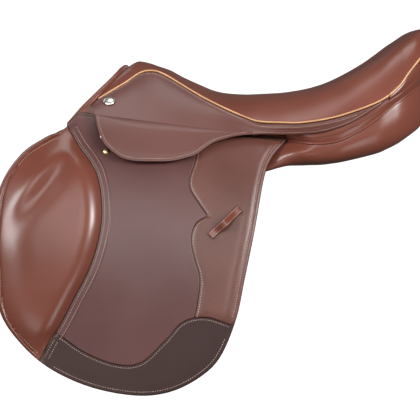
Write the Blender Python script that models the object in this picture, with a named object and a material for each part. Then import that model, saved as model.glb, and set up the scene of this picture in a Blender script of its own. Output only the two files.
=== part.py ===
# Close-contact jumping saddle, modelled as its separate pieces.
# Sizes are millimetres and angles degrees; add_piece writes each mesh in metres.
# +X runs back to the cantle, +Z is up and -Y is the near (left) side.
# The origin lies on the centre plane under the deepest point of the seat.

import math

import bmesh
import bpy
import numpy as np
from mathutils import Vector

METRES = 0.001

# Clearances between pieces that touch, between pieces that slide, and behind the lifting flap's top edge
TOUCH = 0.4
SLIDE = 1.2
LIFT_ROOM = 3.8
CHORD_ALLOWANCE = 0.25

# Leather and padding
FLAP_LEATHER = 3.5
GRIP_LEATHER = 2.2
GRIP_CUTS = (-340, 40, 24)
HEM_LEATHER = 2.6
SKIRT_LEATHER = 4.5
SWEAT_LEATHER = 3.0
STRAP_LEATHER = 4.0
SEAT_LEATHER = 3.0
FACING_LEATHER = 3.0
KNEE_ROLL_HEIGHT = 17.0
KNEE_ROLL_SHOULDER = 34.0
REAR_PAD_HEIGHT = 4.0
REAR_PAD_SHOULDER = 8.0
SWEAT_PAD_HEIGHT = 9.0
FOAM_DEPTH = 16.0
WELT_RADIUS = 2.2
FACING_RADIUS = 4.5
LINING_LEATHER = 2.5

# Fold line shared by flap and skirt, on the flap's outer surface: (x, |y|, z)
FOLD_FRONT = (-225.0, 86.0, 77.7)
FOLD_REAR = (45.0, 110.0, 44.0)
FOLD_GAP = 0.4
SKIRT_STANDOFF = 10.0
SKIRT_DROOP = 2.0

# The flap hangs as a cylinder about the fold: reach * (1 - exp(-depth / decay))
DRAPE_REACH = 100.0
DRAPE_DECAY = 135.0
DRAPE_STEPS = (0.0, 12.0, 28.0, 48.0, 72.0, 100.0, 132.0, 168.0, 208.0, 252.0, 300.0, 360.0)

# Girth straps
STRAP_COUNT = 3
STRAP_WIDTH = 25.0
STRAP_PITCH = 41.0
STRAP_FRONT = -119.5
STRAP_END = -188.0
STRAP_TOP = 8.0

# Tree
RAIL_THICKNESS = 9.0
RAIL_DEPTH = 19.3
RAIL_DIP = 5.0
RAIL_DIP_FROM = 16
SPRING_THICKNESS = 2.0
SPRING_WIDTH = 9.0
WEB_THICKNESS = 1.4
HEAD_FRONT = -160.0
HEAD_LENGTH = 26.0
HEAD_THICKNESS = 8.0
HEAD_CLEARANCE = 2.7
HEAD_PLATE = 2.5
GULLET_PLATE = 2.0

# Stirrup bar and its catch
BAR_FRONT = -172.0
BAR_REAR = -70.0
BAR_PLATE = 3.4
BAR_SLOT = 7.5
BAR_THICKNESS = 4.4
BAR_TOP = -24.0
BAR_BOTTOM = -10.0
BAR_STEM = (-150.0, -138.0)
BAR_ARM_END = -82.0
CATCH_WIDTH = 10.0
CATCH_THICKNESS = 4.0
CATCH_LENGTH = 10.0
PIN_RADIUS = 2.2
PIN_CLEARANCE = 0.4

# Metal trim
NAIL_PLACE = (-186.0, 0.54)
NAIL_RADIUS = 8.0
NAIL_HEIGHT = 3.6
STUD_PLACE = (-188.0, 27.0)
STUD_RADIUS = 4.5
STUD_HEIGHT = 3.0
DEE_X = -184.0
DEE_DEPTH = 14.0
DEE_WIDTH = 22.0
DEE_DROP = 16.0
DEE_WIRE = 3.0
STAPLE_WIDTH = 8.0
STAPLE_METAL = 1.5

# Keeper for the stirrup leather, as a slanted strap on the rear pad
KEEPER_FROM = (-16.0, -43.0)
KEEPER_TO = (-54.0, -78.0)
KEEPER_WIDTH = 10.0
KEEPER_LEATHER = 2.4
KEEPER_LIFT = 8.0

# Outlines in the side view, (x, z), drawn through by a smooth curve
FLAP_EDGE = (
    (45.5, 43.0), (25, 19), (15, -8), (3, -71), (-10, -133), (-21, -183), (-41, -230), (-67, -256),
    (-105, -275), (-149, -280), (-206, -270), (-258, -247), (-296, -215), (-322, -176), (-329, -123),
    (-331, -78), (-324, -18), (-299, 23), (-268, 45), (-245, 52), (-231, 57), (-220, 67), (-213.5, 76),
)
KNEE_SEAM = (
    (-235.5, 59.5), (-224, 37), (-209, 16), (-199, -2), (-193, -30), (-193, -67), (-205, -114),
    (-228, -160), (-246, -194), (-256, -208), (-272, -237.5),
)
HEM_SEAM = (
    (-248.5, -201.5), (-214, -225), (-175, -240), (-142, -238), (-111, -210), (-88, -186), (-59, -180),
    (-25.5, -190),
)
GRIP_SEAM_LOW = ((-74, -182), (-70, -164), (-67, -133), (-74, -106), (-78, -83), (-72, -63), (-57, -53))
GRIP_SEAM_HIGH = ((-57, -53), (-67, -39), (-79, -20), (-80, -5), (-73, 18), (-70, 50))
SKIRT_EDGE = (
    (-1.5, 49.0), (-15, 48), (-45, 41), (-59, 34), (-71, 25), (-86, 20), (-107, 16), (-143, 16),
    (-157, 17.5), (-171, 22.5), (-188, 36), (-195, 48), (-201, 64), (-203, 74.5),
)

# Seat stations: welt x, |y|, z; centre x, z; how square the section is; lift of the side rolls
SEAT = np.array((
    (-204, 70, 92, -161, 138, 1.7, 0),
    (-185, 62, 104, -155, 141.5, 1.8, 0),
    (-165, 54, 116, -149, 143.5, 2.0, 0),
    (-149, 46, 127, -141, 142.5, 2.2, 0),
    (-137, 46, 131, -133, 140.5, 2.2, 0),
    (-123, 50, 130, -123, 137, 2.3, 0),
    (-106, 58, 122, -106, 131, 2.5, 0),
    (-89.5, 68, 112, -89.5, 122, 2.6, 0),
    (-64, 82, 97, -64, 110.5, 2.8, 0),
    (-48, 92, 89, -48, 104, 3.0, 0),
    (-31, 102, 81, -31, 100.5, 3.0, 0),
    (-7, 113, 71, -7, 99, 3.0, 0),
    (10, 120, 66, 10, 99.5, 3.0, 0),
    (41, 131, 65, 41, 101, 3.3, 0.5),
    (60, 136, 65, 60, 103, 3.6, 1.5),
    (84, 140, 68, 84, 106, 4.0, 4),
    (108, 142, 73, 108, 111, 4.5, 7),
    (132, 142, 80.5, 132, 118.5, 5.0, 11),
    (157, 140, 90, 155, 129, 5.5, 14),
    (175, 136, 100, 172, 139, 6.0, 16),
    (190, 130, 113, 186, 149, 6.0, 17),
    (201, 124, 128, 197, 158, 6.0, 15),
    (217, 112, 147, 210, 171, 5.0, 12),
    (230, 92, 160, 222, 182, 4.0, 6),
    (239, 62, 168, 233, 187.5, 3.0, 1),
    (244, 34, 172, 240, 184, 2.4, 0),
    (246, 10, 173, 244.5, 180.5, 2.0, 0),
), dtype=float)
FIRST_CANTLE_STATION = 19

# Rear half of the panel: x, outer |y|, top of the outer side, lowest z, inner |y|
PANEL_REAR = np.array((
    (90, 131, 53, 10.5, 35),
    (113, 135, 56, 12.8, 35),
    (139, 135.5, 70, 18, 35),
    (165, 133, 86, 24.4, 35),
    (190, 125, 102, 36, 36),
    (203, 116, 111, 45, 36),
    (216, 103, 119, 54, 37),
    (228, 84, 125, 66, 38),
    (238, 64, 122, 84, 39),
    (243, 52, 118, 103, 40),
), dtype=float)
PANEL_LOW = (18.0, 2.8)
PANEL_LOW_SLOPE = 0.11
PANEL_THICKNESS = 20.0
PANEL_STATIONS = (-196, -176, -150, -123, -95, -64, -31, 0, 30, 50, 70)

# Colours from the photograph: (linear red, green, blue), roughness, metallic
FINISHES = {
    "smooth_leather": ((0.21, 0.075, 0.045), 0.38, 0.0),
    "grip_leather": ((0.17, 0.095, 0.078), 0.62, 0.0),
    "dark_leather": ((0.09, 0.045, 0.035), 0.55, 0.0),
    "tan_piping": ((0.62, 0.32, 0.15), 0.5, 0.0),
    "strap_leather": ((0.14, 0.055, 0.035), 0.5, 0.0),
    "beech": ((0.50, 0.33, 0.18), 0.6, 0.0),
    "steel": ((0.55, 0.56, 0.58), 0.3, 1.0),
    "brass": ((0.72, 0.50, 0.20), 0.3, 1.0),
    "foam": ((0.75, 0.70, 0.52), 0.9, 0.0),
    "webbing": ((0.70, 0.68, 0.62), 0.85, 0.0),
}
SIDES = (("left", -1), ("right", 1))


def clear_scene():
    for obj in list(bpy.data.objects):
        bpy.data.objects.remove(obj, do_unlink=True)


def make_material(name, finish):
    colour, roughness, metallic = FINISHES[finish]
    material = bpy.data.materials.new(name)
    material.use_nodes = True
    shader = material.node_tree.nodes["Principled BSDF"]
    shader.inputs["Base Color"].default_value = (*colour, 1.0)
    shader.inputs["Roughness"].default_value = roughness
    shader.inputs["Metallic"].default_value = metallic
    return material


def add_empty(name, place):
    empty = bpy.data.objects.new(name, None)
    empty.empty_display_size = 0.02
    empty.location = Vector(place) * METRES
    bpy.context.collection.objects.link(empty)
    return empty


def add_piece(name, points, faces, finish, origin=(0, 0, 0), parent=None):
    """Make a closed mesh object whose origin is at the given place."""
    start = Vector(origin)
    mesh = bpy.data.meshes.new(name)
    mesh.from_pydata([(Vector(p) - start) * METRES for p in points], [], faces)
    shell = bmesh.new()
    shell.from_mesh(mesh)
    bmesh.ops.recalc_face_normals(shell, faces=shell.faces)
    if shell.calc_volume(signed=True) < 0:
        bmesh.ops.reverse_faces(shell, faces=shell.faces)
    shell.to_mesh(mesh)
    shell.free()
    mesh.materials.append(make_material(name, finish))
    mesh.shade_smooth()
    mesh.set_sharp_from_angle(angle=math.radians(35))
    obj = bpy.data.objects.new(name, mesh)
    bpy.context.collection.objects.link(obj)
    obj.location = start * METRES
    if parent is not None:
        obj.parent = parent
        obj.location = start * METRES - parent.location
    return obj


# Curves and closed forms

def smooth_curve(points, steps=2):
    """Catmull-Rom curve through the points, with this many spans between two of them."""
    pts = [Vector(p) for p in points]
    ends = [2 * pts[0] - pts[1]] + pts + [2 * pts[-1] - pts[-2]]
    curve = []
    for a, b, c, d in zip(ends, ends[1:], ends[2:], ends[3:]):
        for k in range(steps):
            u = k / steps
            curve.append(0.5 * (2 * b + (c - a) * u + (2 * a - 5 * b + 4 * c - d) * u ** 2
                                + (3 * b - a - 3 * c + d) * u ** 3))
    curve.append(pts[-1])
    return [tuple(p) for p in curve]


def shift_curve(curve, distance):
    """The flat curve moved sideways, to the left of its own direction."""
    pts = [Vector(p) for p in curve]
    moved = []
    for k, point in enumerate(pts):
        before = pts[max(k - 1, 0)]
        after = pts[min(k + 1, len(pts) - 1)]
        along = (after - before).normalized()
        moved.append((point.x - along.y * distance, point.y + along.x * distance))
    return moved


def loft(rings, closed=False):
    """Closed body through rings of equal point count; ends are capped unless it closes on itself."""
    count = len(rings[0])
    points = [p for ring in rings for p in ring]
    spans = len(rings) if closed else len(rings) - 1
    faces = []
    for i in range(spans):
        a, b = i * count, ((i + 1) % len(rings)) * count
        for j in range(count):
            k = (j + 1) % count
            faces.append((a + j, a + k, b + k, b + j))
    if not closed:
        faces.append(tuple(range(count)))
        faces.append(tuple(range(len(points) - count, len(points))))
    return points, faces


def slab(low, high):
    """Closed body between two grids of points of the same shape, split alike so stacked slabs stay parallel."""
    rows, columns = len(low), len(low[0])
    points = [p for grid in (low, high) for row in grid for p in row]
    second = rows * columns

    def at(i, j):
        return i * columns + j

    faces = []
    for i in range(rows - 1):
        for j in range(columns - 1):
            for corners in ((at(i, j), at(i + 1, j), at(i + 1, j + 1)), (at(i, j), at(i + 1, j + 1), at(i, j + 1))):
                faces.append(corners)
                faces.append(tuple(k + second for k in reversed(corners)))
    rim = ([at(0, j) for j in range(columns)] + [at(i, columns - 1) for i in range(1, rows)]
           + [at(rows - 1, j) for j in range(columns - 2, -1, -1)]
           + [at(i, 0) for i in range(rows - 2, 0, -1)])
    for a, b in zip(rim, rim[1:] + rim[:1]):
        faces.append((a, b, b + second, a + second))
    return points, faces


def tube(path, radius, sides=8, closed=False):
    """Round bar along a path."""
    pts = [Vector(p) for p in path]
    rings = []
    for k, point in enumerate(pts):
        before = pts[k - 1] if closed or k else pts[0]
        after = pts[(k + 1) % len(pts)] if closed or k < len(pts) - 1 else pts[-1]
        along = (after - before).normalized()
        across = along.cross(Vector((0.11, 0.0, 1.0))).normalized()
        up = across.cross(along)
        rings.append([point + radius * (math.cos(a) * across + math.sin(a) * up)
                      for a in (2 * math.pi * s / sides for s in range(sides))])
    return loft(rings, closed)


def turned(place, axis, profile, sides=16):
    """Body of revolution: profile rows are (radius, height along the axis), ends at radius 0."""
    axis = Vector(axis).normalized()
    across = axis.cross(Vector((1.0, 0.0, 0.0))).normalized()
    other = axis.cross(across)
    centre = Vector(place)
    points = [centre + axis * profile[0][1]]
    for radius, height in profile[1:-1]:
        for s in range(sides):
            a = 2 * math.pi * s / sides
            points.append(centre + axis * height + radius * (math.cos(a) * across + math.sin(a) * other))
    points.append(centre + axis * profile[-1][1])
    last = len(points) - 1
    faces = []
    for s in range(sides):
        k = (s + 1) % sides
        faces.append((0, 1 + s, 1 + k))
        faces.append((last, last - sides + k, last - sides + s))
        for r in range(len(profile) - 3):
            a = 1 + r * sides
            faces.append((a + s, a + sides + s, a + sides + k, a + k))
    return points, faces


# The draped surface that flap, straps and sweat flap share

def fold_z(x):
    return FOLD_FRONT[2] + (x - FOLD_FRONT[0]) * (FOLD_REAR[2] - FOLD_FRONT[2]) / (FOLD_REAR[0] - FOLD_FRONT[0])


def fold_y(x):
    return FOLD_FRONT[1] + (x - FOLD_FRONT[0]) * (FOLD_REAR[1] - FOLD_FRONT[1]) / (FOLD_REAR[0] - FOLD_FRONT[0])


TOP_SLOPE = DRAPE_REACH / DRAPE_DECAY
HIGHEST = -80.0
STEPS = (HIGHEST,) + DRAPE_STEPS
REACHES = [HIGHEST * TOP_SLOPE] + [DRAPE_REACH * (1 - math.exp(-d / DRAPE_DECAY)) for d in DRAPE_STEPS]
STRETCHES = [math.hypot(1, TOP_SLOPE)] + [math.hypot(1, TOP_SLOPE * math.exp(-d / DRAPE_DECAY)) for d in DRAPE_STEPS]


def drape(x, depth, offset, side):
    """Point at this depth below the fold line and this far outside the flap's outer surface."""
    reach = float(np.interp(depth, STEPS, REACHES))
    stretch = float(np.interp(depth, STEPS, STRETCHES))
    return Vector((x, side * (fold_y(x) + reach + offset * stretch), fold_z(x) - depth))


def drape_normal(x, z, side):
    """Outward direction of the draped surface."""
    depth = fold_z(x) - z
    down = drape(x, depth + 1, 0, side) - drape(x, depth - 1, 0, side)
    along = drape(x + 1, depth + fold_z(x + 1) - fold_z(x), 0, side) - drape(x, depth, 0, side)
    normal = down.cross(along).normalized()
    return normal if normal.y * side > 0 else -normal


def draped_sheet(outline, side, inner, outer, cuts=()):
    """Sheet with this side-view outline, between two offsets from the draped surface.

    The outline is cut along the fold's direction at the shared steps, so stacked sheets stay parallel.
    """
    flat = bmesh.new()
    flat.faces.new([flat.verts.new((x, 0.0, z)) for x, z in outline])
    slope = (FOLD_REAR[2] - FOLD_FRONT[2]) / (FOLD_REAR[0] - FOLD_FRONT[0])
    planes = [((FOLD_FRONT[0], 0, FOLD_FRONT[2] - d), (-slope, 0, 1)) for d in DRAPE_STEPS]
    for place, normal in planes + list(cuts):
        everything = flat.verts[:] + flat.edges[:] + flat.faces[:]
        bmesh.ops.bisect_plane(flat, geom=everything, dist=0.01, plane_co=place, plane_no=normal)
    bmesh.ops.triangulate(flat, faces=flat.faces[:])
    flat.verts.ensure_lookup_table()
    flat.verts.index_update()
    points = []
    for offset in (inner, outer):
        for vertex in flat.verts:
            x, z = vertex.co.x, vertex.co.z
            value = offset(x, z) if callable(offset) else offset
            points.append(drape(x, fold_z(x) - z, value, side))
    count = len(flat.verts)
    faces = []
    for face in flat.faces:
        corners = [v.index for v in face.verts]
        faces.append(tuple(corners))
        faces.append(tuple(c + count for c in reversed(corners)))
    for edge in flat.edges:
        if edge.is_boundary:
            a, b = (v.index for v in edge.verts)
            faces.append((a, b, b + count, a + count))
    flat.free()
    return points, faces


def upright_cuts(first, last, spacing):
    """Cutting planes across the sheet, for pieces whose thickness varies."""
    count = int((last - first) // spacing)
    return [((first + spacing * (k + 1), 0, 0), (1, 0, 0)) for k in range(count)]


def distance_to(outline, x, z):
    """Shortest distance from a side-view point to the outline."""
    best = 1e9
    for (ax, az), (bx, bz) in zip(outline, outline[1:] + outline[:1]):
        length = (bx - ax) ** 2 + (bz - az) ** 2
        along = 0.0 if length == 0 else max(0.0, min(1.0, ((x - ax) * (bx - ax) + (z - az) * (bz - az)) / length))
        best = min(best, math.hypot(x - ax - along * (bx - ax), z - az - along * (bz - az)))
    return best


def padding(outline, base, edge, height, shoulder):
    """Offset of a pad's outer face: the edge's thickness, rising to full height over the shoulder."""
    def offset(x, z):
        share = min(distance_to(outline, x, z) / shoulder, 1.0)
        return base + edge + (height - edge) * math.sin(share * math.pi / 2)
    return offset


# The seat's surface, which the cover, foam, webs, rails and welts all follow

STATION = np.arange(len(SEAT))


def seat_point(t, s, drop=0.0):
    """Point of the seat's top: t runs over the stations, s from -1 (left welt) to 1 (right welt)."""
    welt_x, welt_y, welt_z, centre_x, centre_z, power, lift = (
        float(np.interp(t, STATION, SEAT[:, c])) for c in range(7))
    a = abs(s)
    roll = lift * 6.75 * a * a * (1 - a)
    return Vector((centre_x + (welt_x - centre_x) * a ** 1.6, welt_y * s,
                   welt_z + (centre_z - welt_z) * (1 - a ** power) + roll - drop))


def seat_normal(t, s):
    last = len(SEAT) - 1
    along = seat_point(min(t + 0.5, last), s) - seat_point(max(t - 0.5, 0), s)
    across = seat_point(t, min(s + 0.02, 1)) - seat_point(t, max(s - 0.02, -1))
    normal = along.cross(across).normalized()
    return normal if normal.z > 0 else -normal


def seat_edge(t, distance):
    """Share s at which the section is this far from the welt line."""
    last = len(SEAT) - 1
    welt = [seat_point(max(0, min(last, t + step)), 1) for step in (-1, 0, 1)]
    low, high = 0.5, 1.0
    for _ in range(20):
        middle = (low + high) / 2
        point = seat_point(t, middle)
        near = min(distance_to_segment(point, a, b) for a, b in zip(welt, welt[1:]))
        if near > distance + CHORD_ALLOWANCE:
            low = middle
        else:
            high = middle
    return low


def distance_to_segment(point, start, end):
    along = end - start
    share = 0.0 if along.length == 0 else max(0.0, min(1.0, (point - start).dot(along) / along.length_squared))
    return (point - start - along * share).length


def seat_station(x, share):
    """Station at which the surface passes this x, for a given share across."""
    low, high = 0.0, float(len(SEAT) - 1)
    for _ in range(30):
        middle = (low + high) / 2
        if seat_point(middle, share).x < x:
            low = middle
        else:
            high = middle
    return low


def seat_height(x, y):
    """Height of the seat's top over a point of the plan."""
    share = 0.5
    for _ in range(8):
        t = seat_station(x, share)
        share = min(abs(y) / float(np.interp(t, STATION, SEAT[:, 1])), 1.0)
    return seat_point(t, share).z


# Seat, foam and tree

SHARES = (0, 0.22, 0.42, 0.58, 0.72, 0.84, 0.93)


def both_ways(shares):
    return [-s for s in reversed(shares)] + [s for s in shares if s]


def add_seat_cover():
    low, high = [], []
    for t in STATION:
        edge = seat_edge(t, WELT_RADIUS + TOUCH)
        shares = both_ways([s * edge for s in SHARES] + [edge])
        high.append([seat_point(t, s) for s in shares])
        low.append([seat_point(t, s) - SEAT_LEATHER * seat_normal(t, s) for s in shares])
    add_piece("seat_cover", *slab(low, high), "smooth_leather")


def add_seat_foam():
    low, high = [], []
    for t in STATION[1:25]:
        edge = seat_edge(t, WELT_RADIUS + TOUCH)
        shares = both_ways([s * edge for s in SHARES[:-1]])
        high.append([seat_point(t, s) - (SEAT_LEATHER + TOUCH) * seat_normal(t, s) for s in shares])
        low.append([seat_point(t, s, FOAM_DEPTH) for s in shares])
    add_piece("seat_foam", *slab(low, high), "foam")


# Rails: pairs of stations and shares for the inner and outer edge, left side, front to cantle
RAIL_PATH = (
    ((4.62, 0.34), (4.62, 0.74)), ((6, 0.32), (6, 0.70)), ((7, 0.31), (7, 0.66)), ((8, 0.32), (8, 0.62)),
    ((9, 0.36), (9, 0.62)), ((10, 0.40), (10, 0.64)), ((11, 0.44), (11, 0.66)), ((12, 0.47), (12, 0.69)),
    ((13, 0.50), (13, 0.72)), ((14, 0.53), (14, 0.75)), ((15, 0.55), (15, 0.77)), ((16, 0.56), (16, 0.78)),
    ((17, 0.56), (17, 0.79)), ((18, 0.54), (18, 0.79)), ((19, 0.48), (19.4, 0.76)), ((19.6, 0.34), (20.6, 0.68)),
    ((19.8, 0.17), (21.3, 0.42)), ((19.9, 0.0), (21.5, 0.0)),
)


def rail_depth(t):
    """The rails sit deeper under the steep face of the cantle."""
    return RAIL_DEPTH + RAIL_DIP * min(max((t - RAIL_DIP_FROM) / 3, 0), 1)


def add_tree_rails():
    half = []
    for (t_in, s_in), (t_out, s_out) in RAIL_PATH:
        inner = seat_point(t_in, s_in, rail_depth(t_in))
        outer = seat_point(t_out, s_out, rail_depth(t_out))
        down = Vector((0, 0, RAIL_THICKNESS))
        half.append([inner, outer, outer - down, inner - down])
    other = [[Vector((p.x, -p.y, p.z)) for p in ring] for ring in reversed(half[:-1])]
    add_piece("tree_rails", *loft(half + other), "beech")


def add_rail_springs():
    for side_name, side in SIDES:
        rings = []
        for (t_in, s_in), (t_out, s_out) in RAIL_PATH[1:14]:
            inner = seat_point(t_in, s_in, rail_depth(t_in) + RAIL_THICKNESS + TOUCH)
            outer = seat_point(t_out, s_out, rail_depth(t_out) + RAIL_THICKNESS + TOUCH)
            across = (outer - inner).normalized()
            middle = (inner + outer) / 2
            down = Vector((0, 0, SPRING_THICKNESS))
            ends = (middle - across * SPRING_WIDTH / 2, middle + across * SPRING_WIDTH / 2)
            ring = [ends[0], ends[1], ends[1] - down, ends[0] - down]
            rings.append([Vector((p.x, p.y * side, p.z)) for p in ring])
        add_piece(f"rail_spring_{side_name}", *loft(rings), "steel")


def add_seat_web():
    low, high = [], []
    for (t, s_in), _ in RAIL_PATH[:15]:
        limit = s_in - TOUCH / float(np.interp(t, STATION, SEAT[:, 1]))
        shares = both_ways((0, limit / 2, limit))
        drop = rail_depth(t) + TOUCH
        high.append([seat_point(t, s, drop) for s in shares])
        low.append([seat_point(t, s, drop + WEB_THICKNESS) for s in shares])
    add_piece("seat_web", *slab(low, high), "webbing")


def add_girth_web():
    """Web that lies over the rails under the foam and hangs down each side behind the straps."""
    low, high = [], []
    offset = -(FLAP_LEATHER + LIFT_ROOM + STRAP_LEATHER + TOUCH)
    for t in STATION[5:12]:
        x = max(seat_point(t, 0).x, HEAD_FRONT + HEAD_LENGTH + 2 * TOUCH)
        edge = seat_edge(t, WELT_RADIUS + TOUCH)
        rail_edge = float(np.interp(t, [pair[1][0] for pair in RAIL_PATH], [pair[1][1] for pair in RAIL_PATH]))
        over = [seat_point(t, s * edge, FOAM_DEPTH + TOUCH) for s in SHARES[:4]]
        over.append(seat_point(t, rail_edge + 0.05, FOAM_DEPTH + TOUCH))
        under = [p - Vector((0, 0, WEB_THICKNESS)) for p in over]
        top = -0.72 * (over[-1].z - fold_z(x))
        hang = [drape(x, d, offset, 1) for d in (top, top / 2, 0, 12)]
        back = [drape(x, d, offset - WEB_THICKNESS, 1) for d in (top, top / 2, 0, 12)]
        right, right_back = over + hang, under + back
        high.append([Vector((p.x, -p.y, p.z)) for p in reversed(right[1:])] + right)
        low.append([Vector((p.x, -p.y, p.z)) for p in reversed(right_back[1:])] + right_back)
    add_piece("girth_web", *slab(low, high), "webbing")


def head_section(x):
    """Outer and inner half curves of the tree's head, (y, z), from the crown down to the point."""
    offset = -(FLAP_LEATHER + TOUCH + BAR_PLATE + TOUCH)
    legs = [drape(x, d, offset, 1) for d in (-32, -10, 8)]
    inner_legs = [drape(x, d, offset - HEAD_THICKNESS, 1) for d in (-32, -10, 8)]
    slope = fold_z(x) - fold_z(HEAD_FRONT)
    crown = seat_height(HEAD_FRONT, 0) - FOAM_DEPTH - TOUCH - HEAD_PLATE - HEAD_CLEARANCE + slope
    outer = [(0, crown), (17, crown - 1), (32, crown - 4.5), (44, crown - 10.5)] + [(p.y, p.z) for p in legs]
    bottom = crown - 1.25 * HEAD_THICKNESS
    inner = [(0, bottom), (14, bottom - 0.8), (26, bottom - 3.4), (36, bottom - 8)] + [(p.y, p.z) for p in inner_legs]
    return outer, inner


def full_band(x, outer, inner):
    """Closed ring of an arch-shaped band at this x, from half curves."""
    ring = [(-y, z) for y, z in reversed(outer[1:])] + list(outer)
    ring += list(reversed(inner)) + [(-y, z) for y, z in inner[1:]]
    return [Vector((x, y, z)) for y, z in ring]


def add_tree_head():
    ends = (HEAD_FRONT, HEAD_FRONT + HEAD_LENGTH)
    rings = [full_band(x, *head_section(x)) for x in ends]
    add_piece("tree_head", *loft(rings), "beech")
    plate, gullet = [], []
    for x in (ends[0] + 2, ends[1] - 2):
        outer, inner = head_section(x)
        arch = outer[:4]
        plate.append(full_band(x, shift_curve(arch, TOUCH + HEAD_PLATE), shift_curve(arch, TOUCH)))
        gullet.append(full_band(x, shift_curve(inner, -TOUCH), shift_curve(inner, -TOUCH - GULLET_PLATE)))
    add_piece("head_plate", *loft(plate), "steel")
    add_piece("gullet_plate", *loft(gullet), "steel")


# Edges, welts and facings

def add_welts():
    for side_name, side in SIDES:
        path = [seat_point(t, side) for t in (0.25, *STATION[1:FIRST_CANTLE_STATION])]
        add_piece(f"seat_welt_{side_name}", *tube(path, WELT_RADIUS), "tan_piping")
    last = len(SEAT) - 1
    near = [seat_point(t, -1) for t in range(FIRST_CANTLE_STATION, last + 1)]
    far = [Vector((p.x, -p.y, p.z)) for p in reversed(near)]
    add_piece("cantle_welt", *tube(near + far, WELT_RADIUS), "tan_piping")


CANTLE_DROP = (5, 9, 15, 22, 27, 29, 30, 31)


def add_cantle_facing():
    """Leather strip under the cantle welt, down to the panel's top edge."""
    low, high = [], []
    stations = list(range(FIRST_CANTLE_STATION, len(SEAT)))
    for k, t in enumerate(stations):
        welt = seat_point(t, -1)
        along = (seat_point(min(t + 1, len(SEAT) - 1), -1) - seat_point(t - 1, -1)).normalized()
        inward = Vector((-welt.x * 0.25, -welt.y, 0)).normalized()
        below = Vector((0, 0, -1)) + along * along.z
        start = welt + below.normalized() * (WELT_RADIUS + TOUCH + CHORD_ALLOWANCE)
        if k == 0:
            start += along * TOUCH
        row_low, row_high = [], []
        for share in (0.0, 0.5, 1.0):
            place = start + inward * (2.5 * share) - Vector((0, 0, share * CANTLE_DROP[k]))
            row_high.append(place)
            row_low.append(place + inward * FACING_LEATHER)
        high.append(row_high)
        low.append(row_low)
    high += [[Vector((p.x, -p.y, p.z)) for p in row] for row in reversed(high)]
    low += [[Vector((p.x, -p.y, p.z)) for p in row] for row in reversed(low)]
    add_piece("cantle_facing", *slab(low, high), "smooth_leather")


POMMEL_PATH = (
    (-167, 0, 134.5), (-171, 15.5, 131.5), (-177, 29, 124.5), (-187, 43, 114), (-199, 58, 102), (-210, 67, 90),
    (-221, 75.5, 77), (-231, 84, 65), (-239, 88, 56.5),
)


def add_pommel_facing():
    """Padded leather edge that runs over the front arch from one flap to the other."""
    half = smooth_curve(POMMEL_PATH, 2)
    path = [(x, -y, z) for x, y, z in reversed(half[1:])] + half
    add_piece("pommel_facing", *tube(path, FACING_RADIUS), "smooth_leather")


LINING_FRONT = ((-168, 0, 129), (-171.5, 14, 126), (-177, 26, 120), (-182, 35, 114))


def add_channel_lining():
    """Leather from under the pommel roll round the tree's head, then back along the channel's roof."""
    upper = [[Vector(p) for p in LINING_FRONT]]
    lower = [[p + Vector((-LINING_LEATHER, 0, -0.5)) for p in upper[0]]]
    bend = LINING_LEATHER * 0.75
    for x, shift in ((HEAD_FRONT - TOUCH, (-bend, 0, -bend)), (HEAD_FRONT + HEAD_LENGTH, (0, 0, -LINING_LEATHER))):
        _, inner = head_section(x)
        arch = shift_curve(inner[:4], -2 * TOUCH - GULLET_PLATE)
        width = panel_front_section(x)[0][0] - 2 * TOUCH
        row = [Vector((x, min(y, width), z)) for y, z in arch]
        upper.append(row)
        lower.append([p + Vector(shift) for p in row])
    for t in STATION[5:FIRST_CANTLE_STATION + 1]:
        width = panel_section(seat_point(t, 0).x)[0][0] - 2 * TOUCH
        drop = rail_depth(t) + RAIL_THICKNESS + SPRING_THICKNESS + 3 * TOUCH
        row = [seat_point(t, width * share / SEAT[t, 1], drop) for share in (0, 0.4, 0.75, 1)]
        upper.append(row)
        lower.append([p - Vector((0, 0, LINING_LEATHER)) for p in row])
    both = [[[Vector((p.x, -p.y, p.z)) for p in reversed(row[1:])] + row for row in grid] for grid in (lower, upper)]
    add_piece("channel_lining", *slab(*both), "strap_leather")


# Skirt: a fixed part above the fold and a lobe that lifts

SKIRT_ROWS = (0, 0.2, 0.4, 0.6, 0.8, 1)
SKIRT_BULGE = 6.0
STRIP_EDGE = np.array((
    (0, 124, 49.4), (20, 125.5, 49), (41, 129, 48.5), (60, 133, 49), (84, 137.5, 51), (108, 140, 57),
    (132, 140.5, 67), (157, 139, 82.5), (175, 135.5, 95),
), dtype=float)


def skirt_point(t, v, side):
    """Outer surface of the fixed skirt: v runs from the welt to the fold or, behind it, the lower edge."""
    welt = seat_point(t, side)
    x = welt.x
    if x <= STRIP_EDGE[0, 0]:
        edge = drape(x, -FOLD_GAP, SKIRT_STANDOFF + SKIRT_LEATHER, side)
    else:
        edge = Vector((x, side * float(np.interp(x, STRIP_EDGE[:, 0], STRIP_EDGE[:, 1])),
                       float(np.interp(x, STRIP_EDGE[:, 0], STRIP_EDGE[:, 2]))))
    down = (edge - welt).normalized()
    out = Vector((0, side * abs(down.z), abs(down.y))).normalized()
    start = welt + down * (WELT_RADIUS + TOUCH + CHORD_ALLOWANCE)
    fullness = SKIRT_BULGE * min((edge - welt).length / 60, 1)
    return start.lerp(edge, v) + out * (fullness * 4 * v * (1 - v))


def skirt_normal(t, v, side):
    across = skirt_point(t, min(v + 0.05, 1), side) - skirt_point(t, max(v - 0.05, 0), side)
    along = skirt_point(min(t + 0.3, FIRST_CANTLE_STATION), v, side) - skirt_point(max(t - 0.3, 0), v, side)
    normal = across.cross(along).normalized()
    return normal if normal.y * side > 0 else -normal


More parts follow.
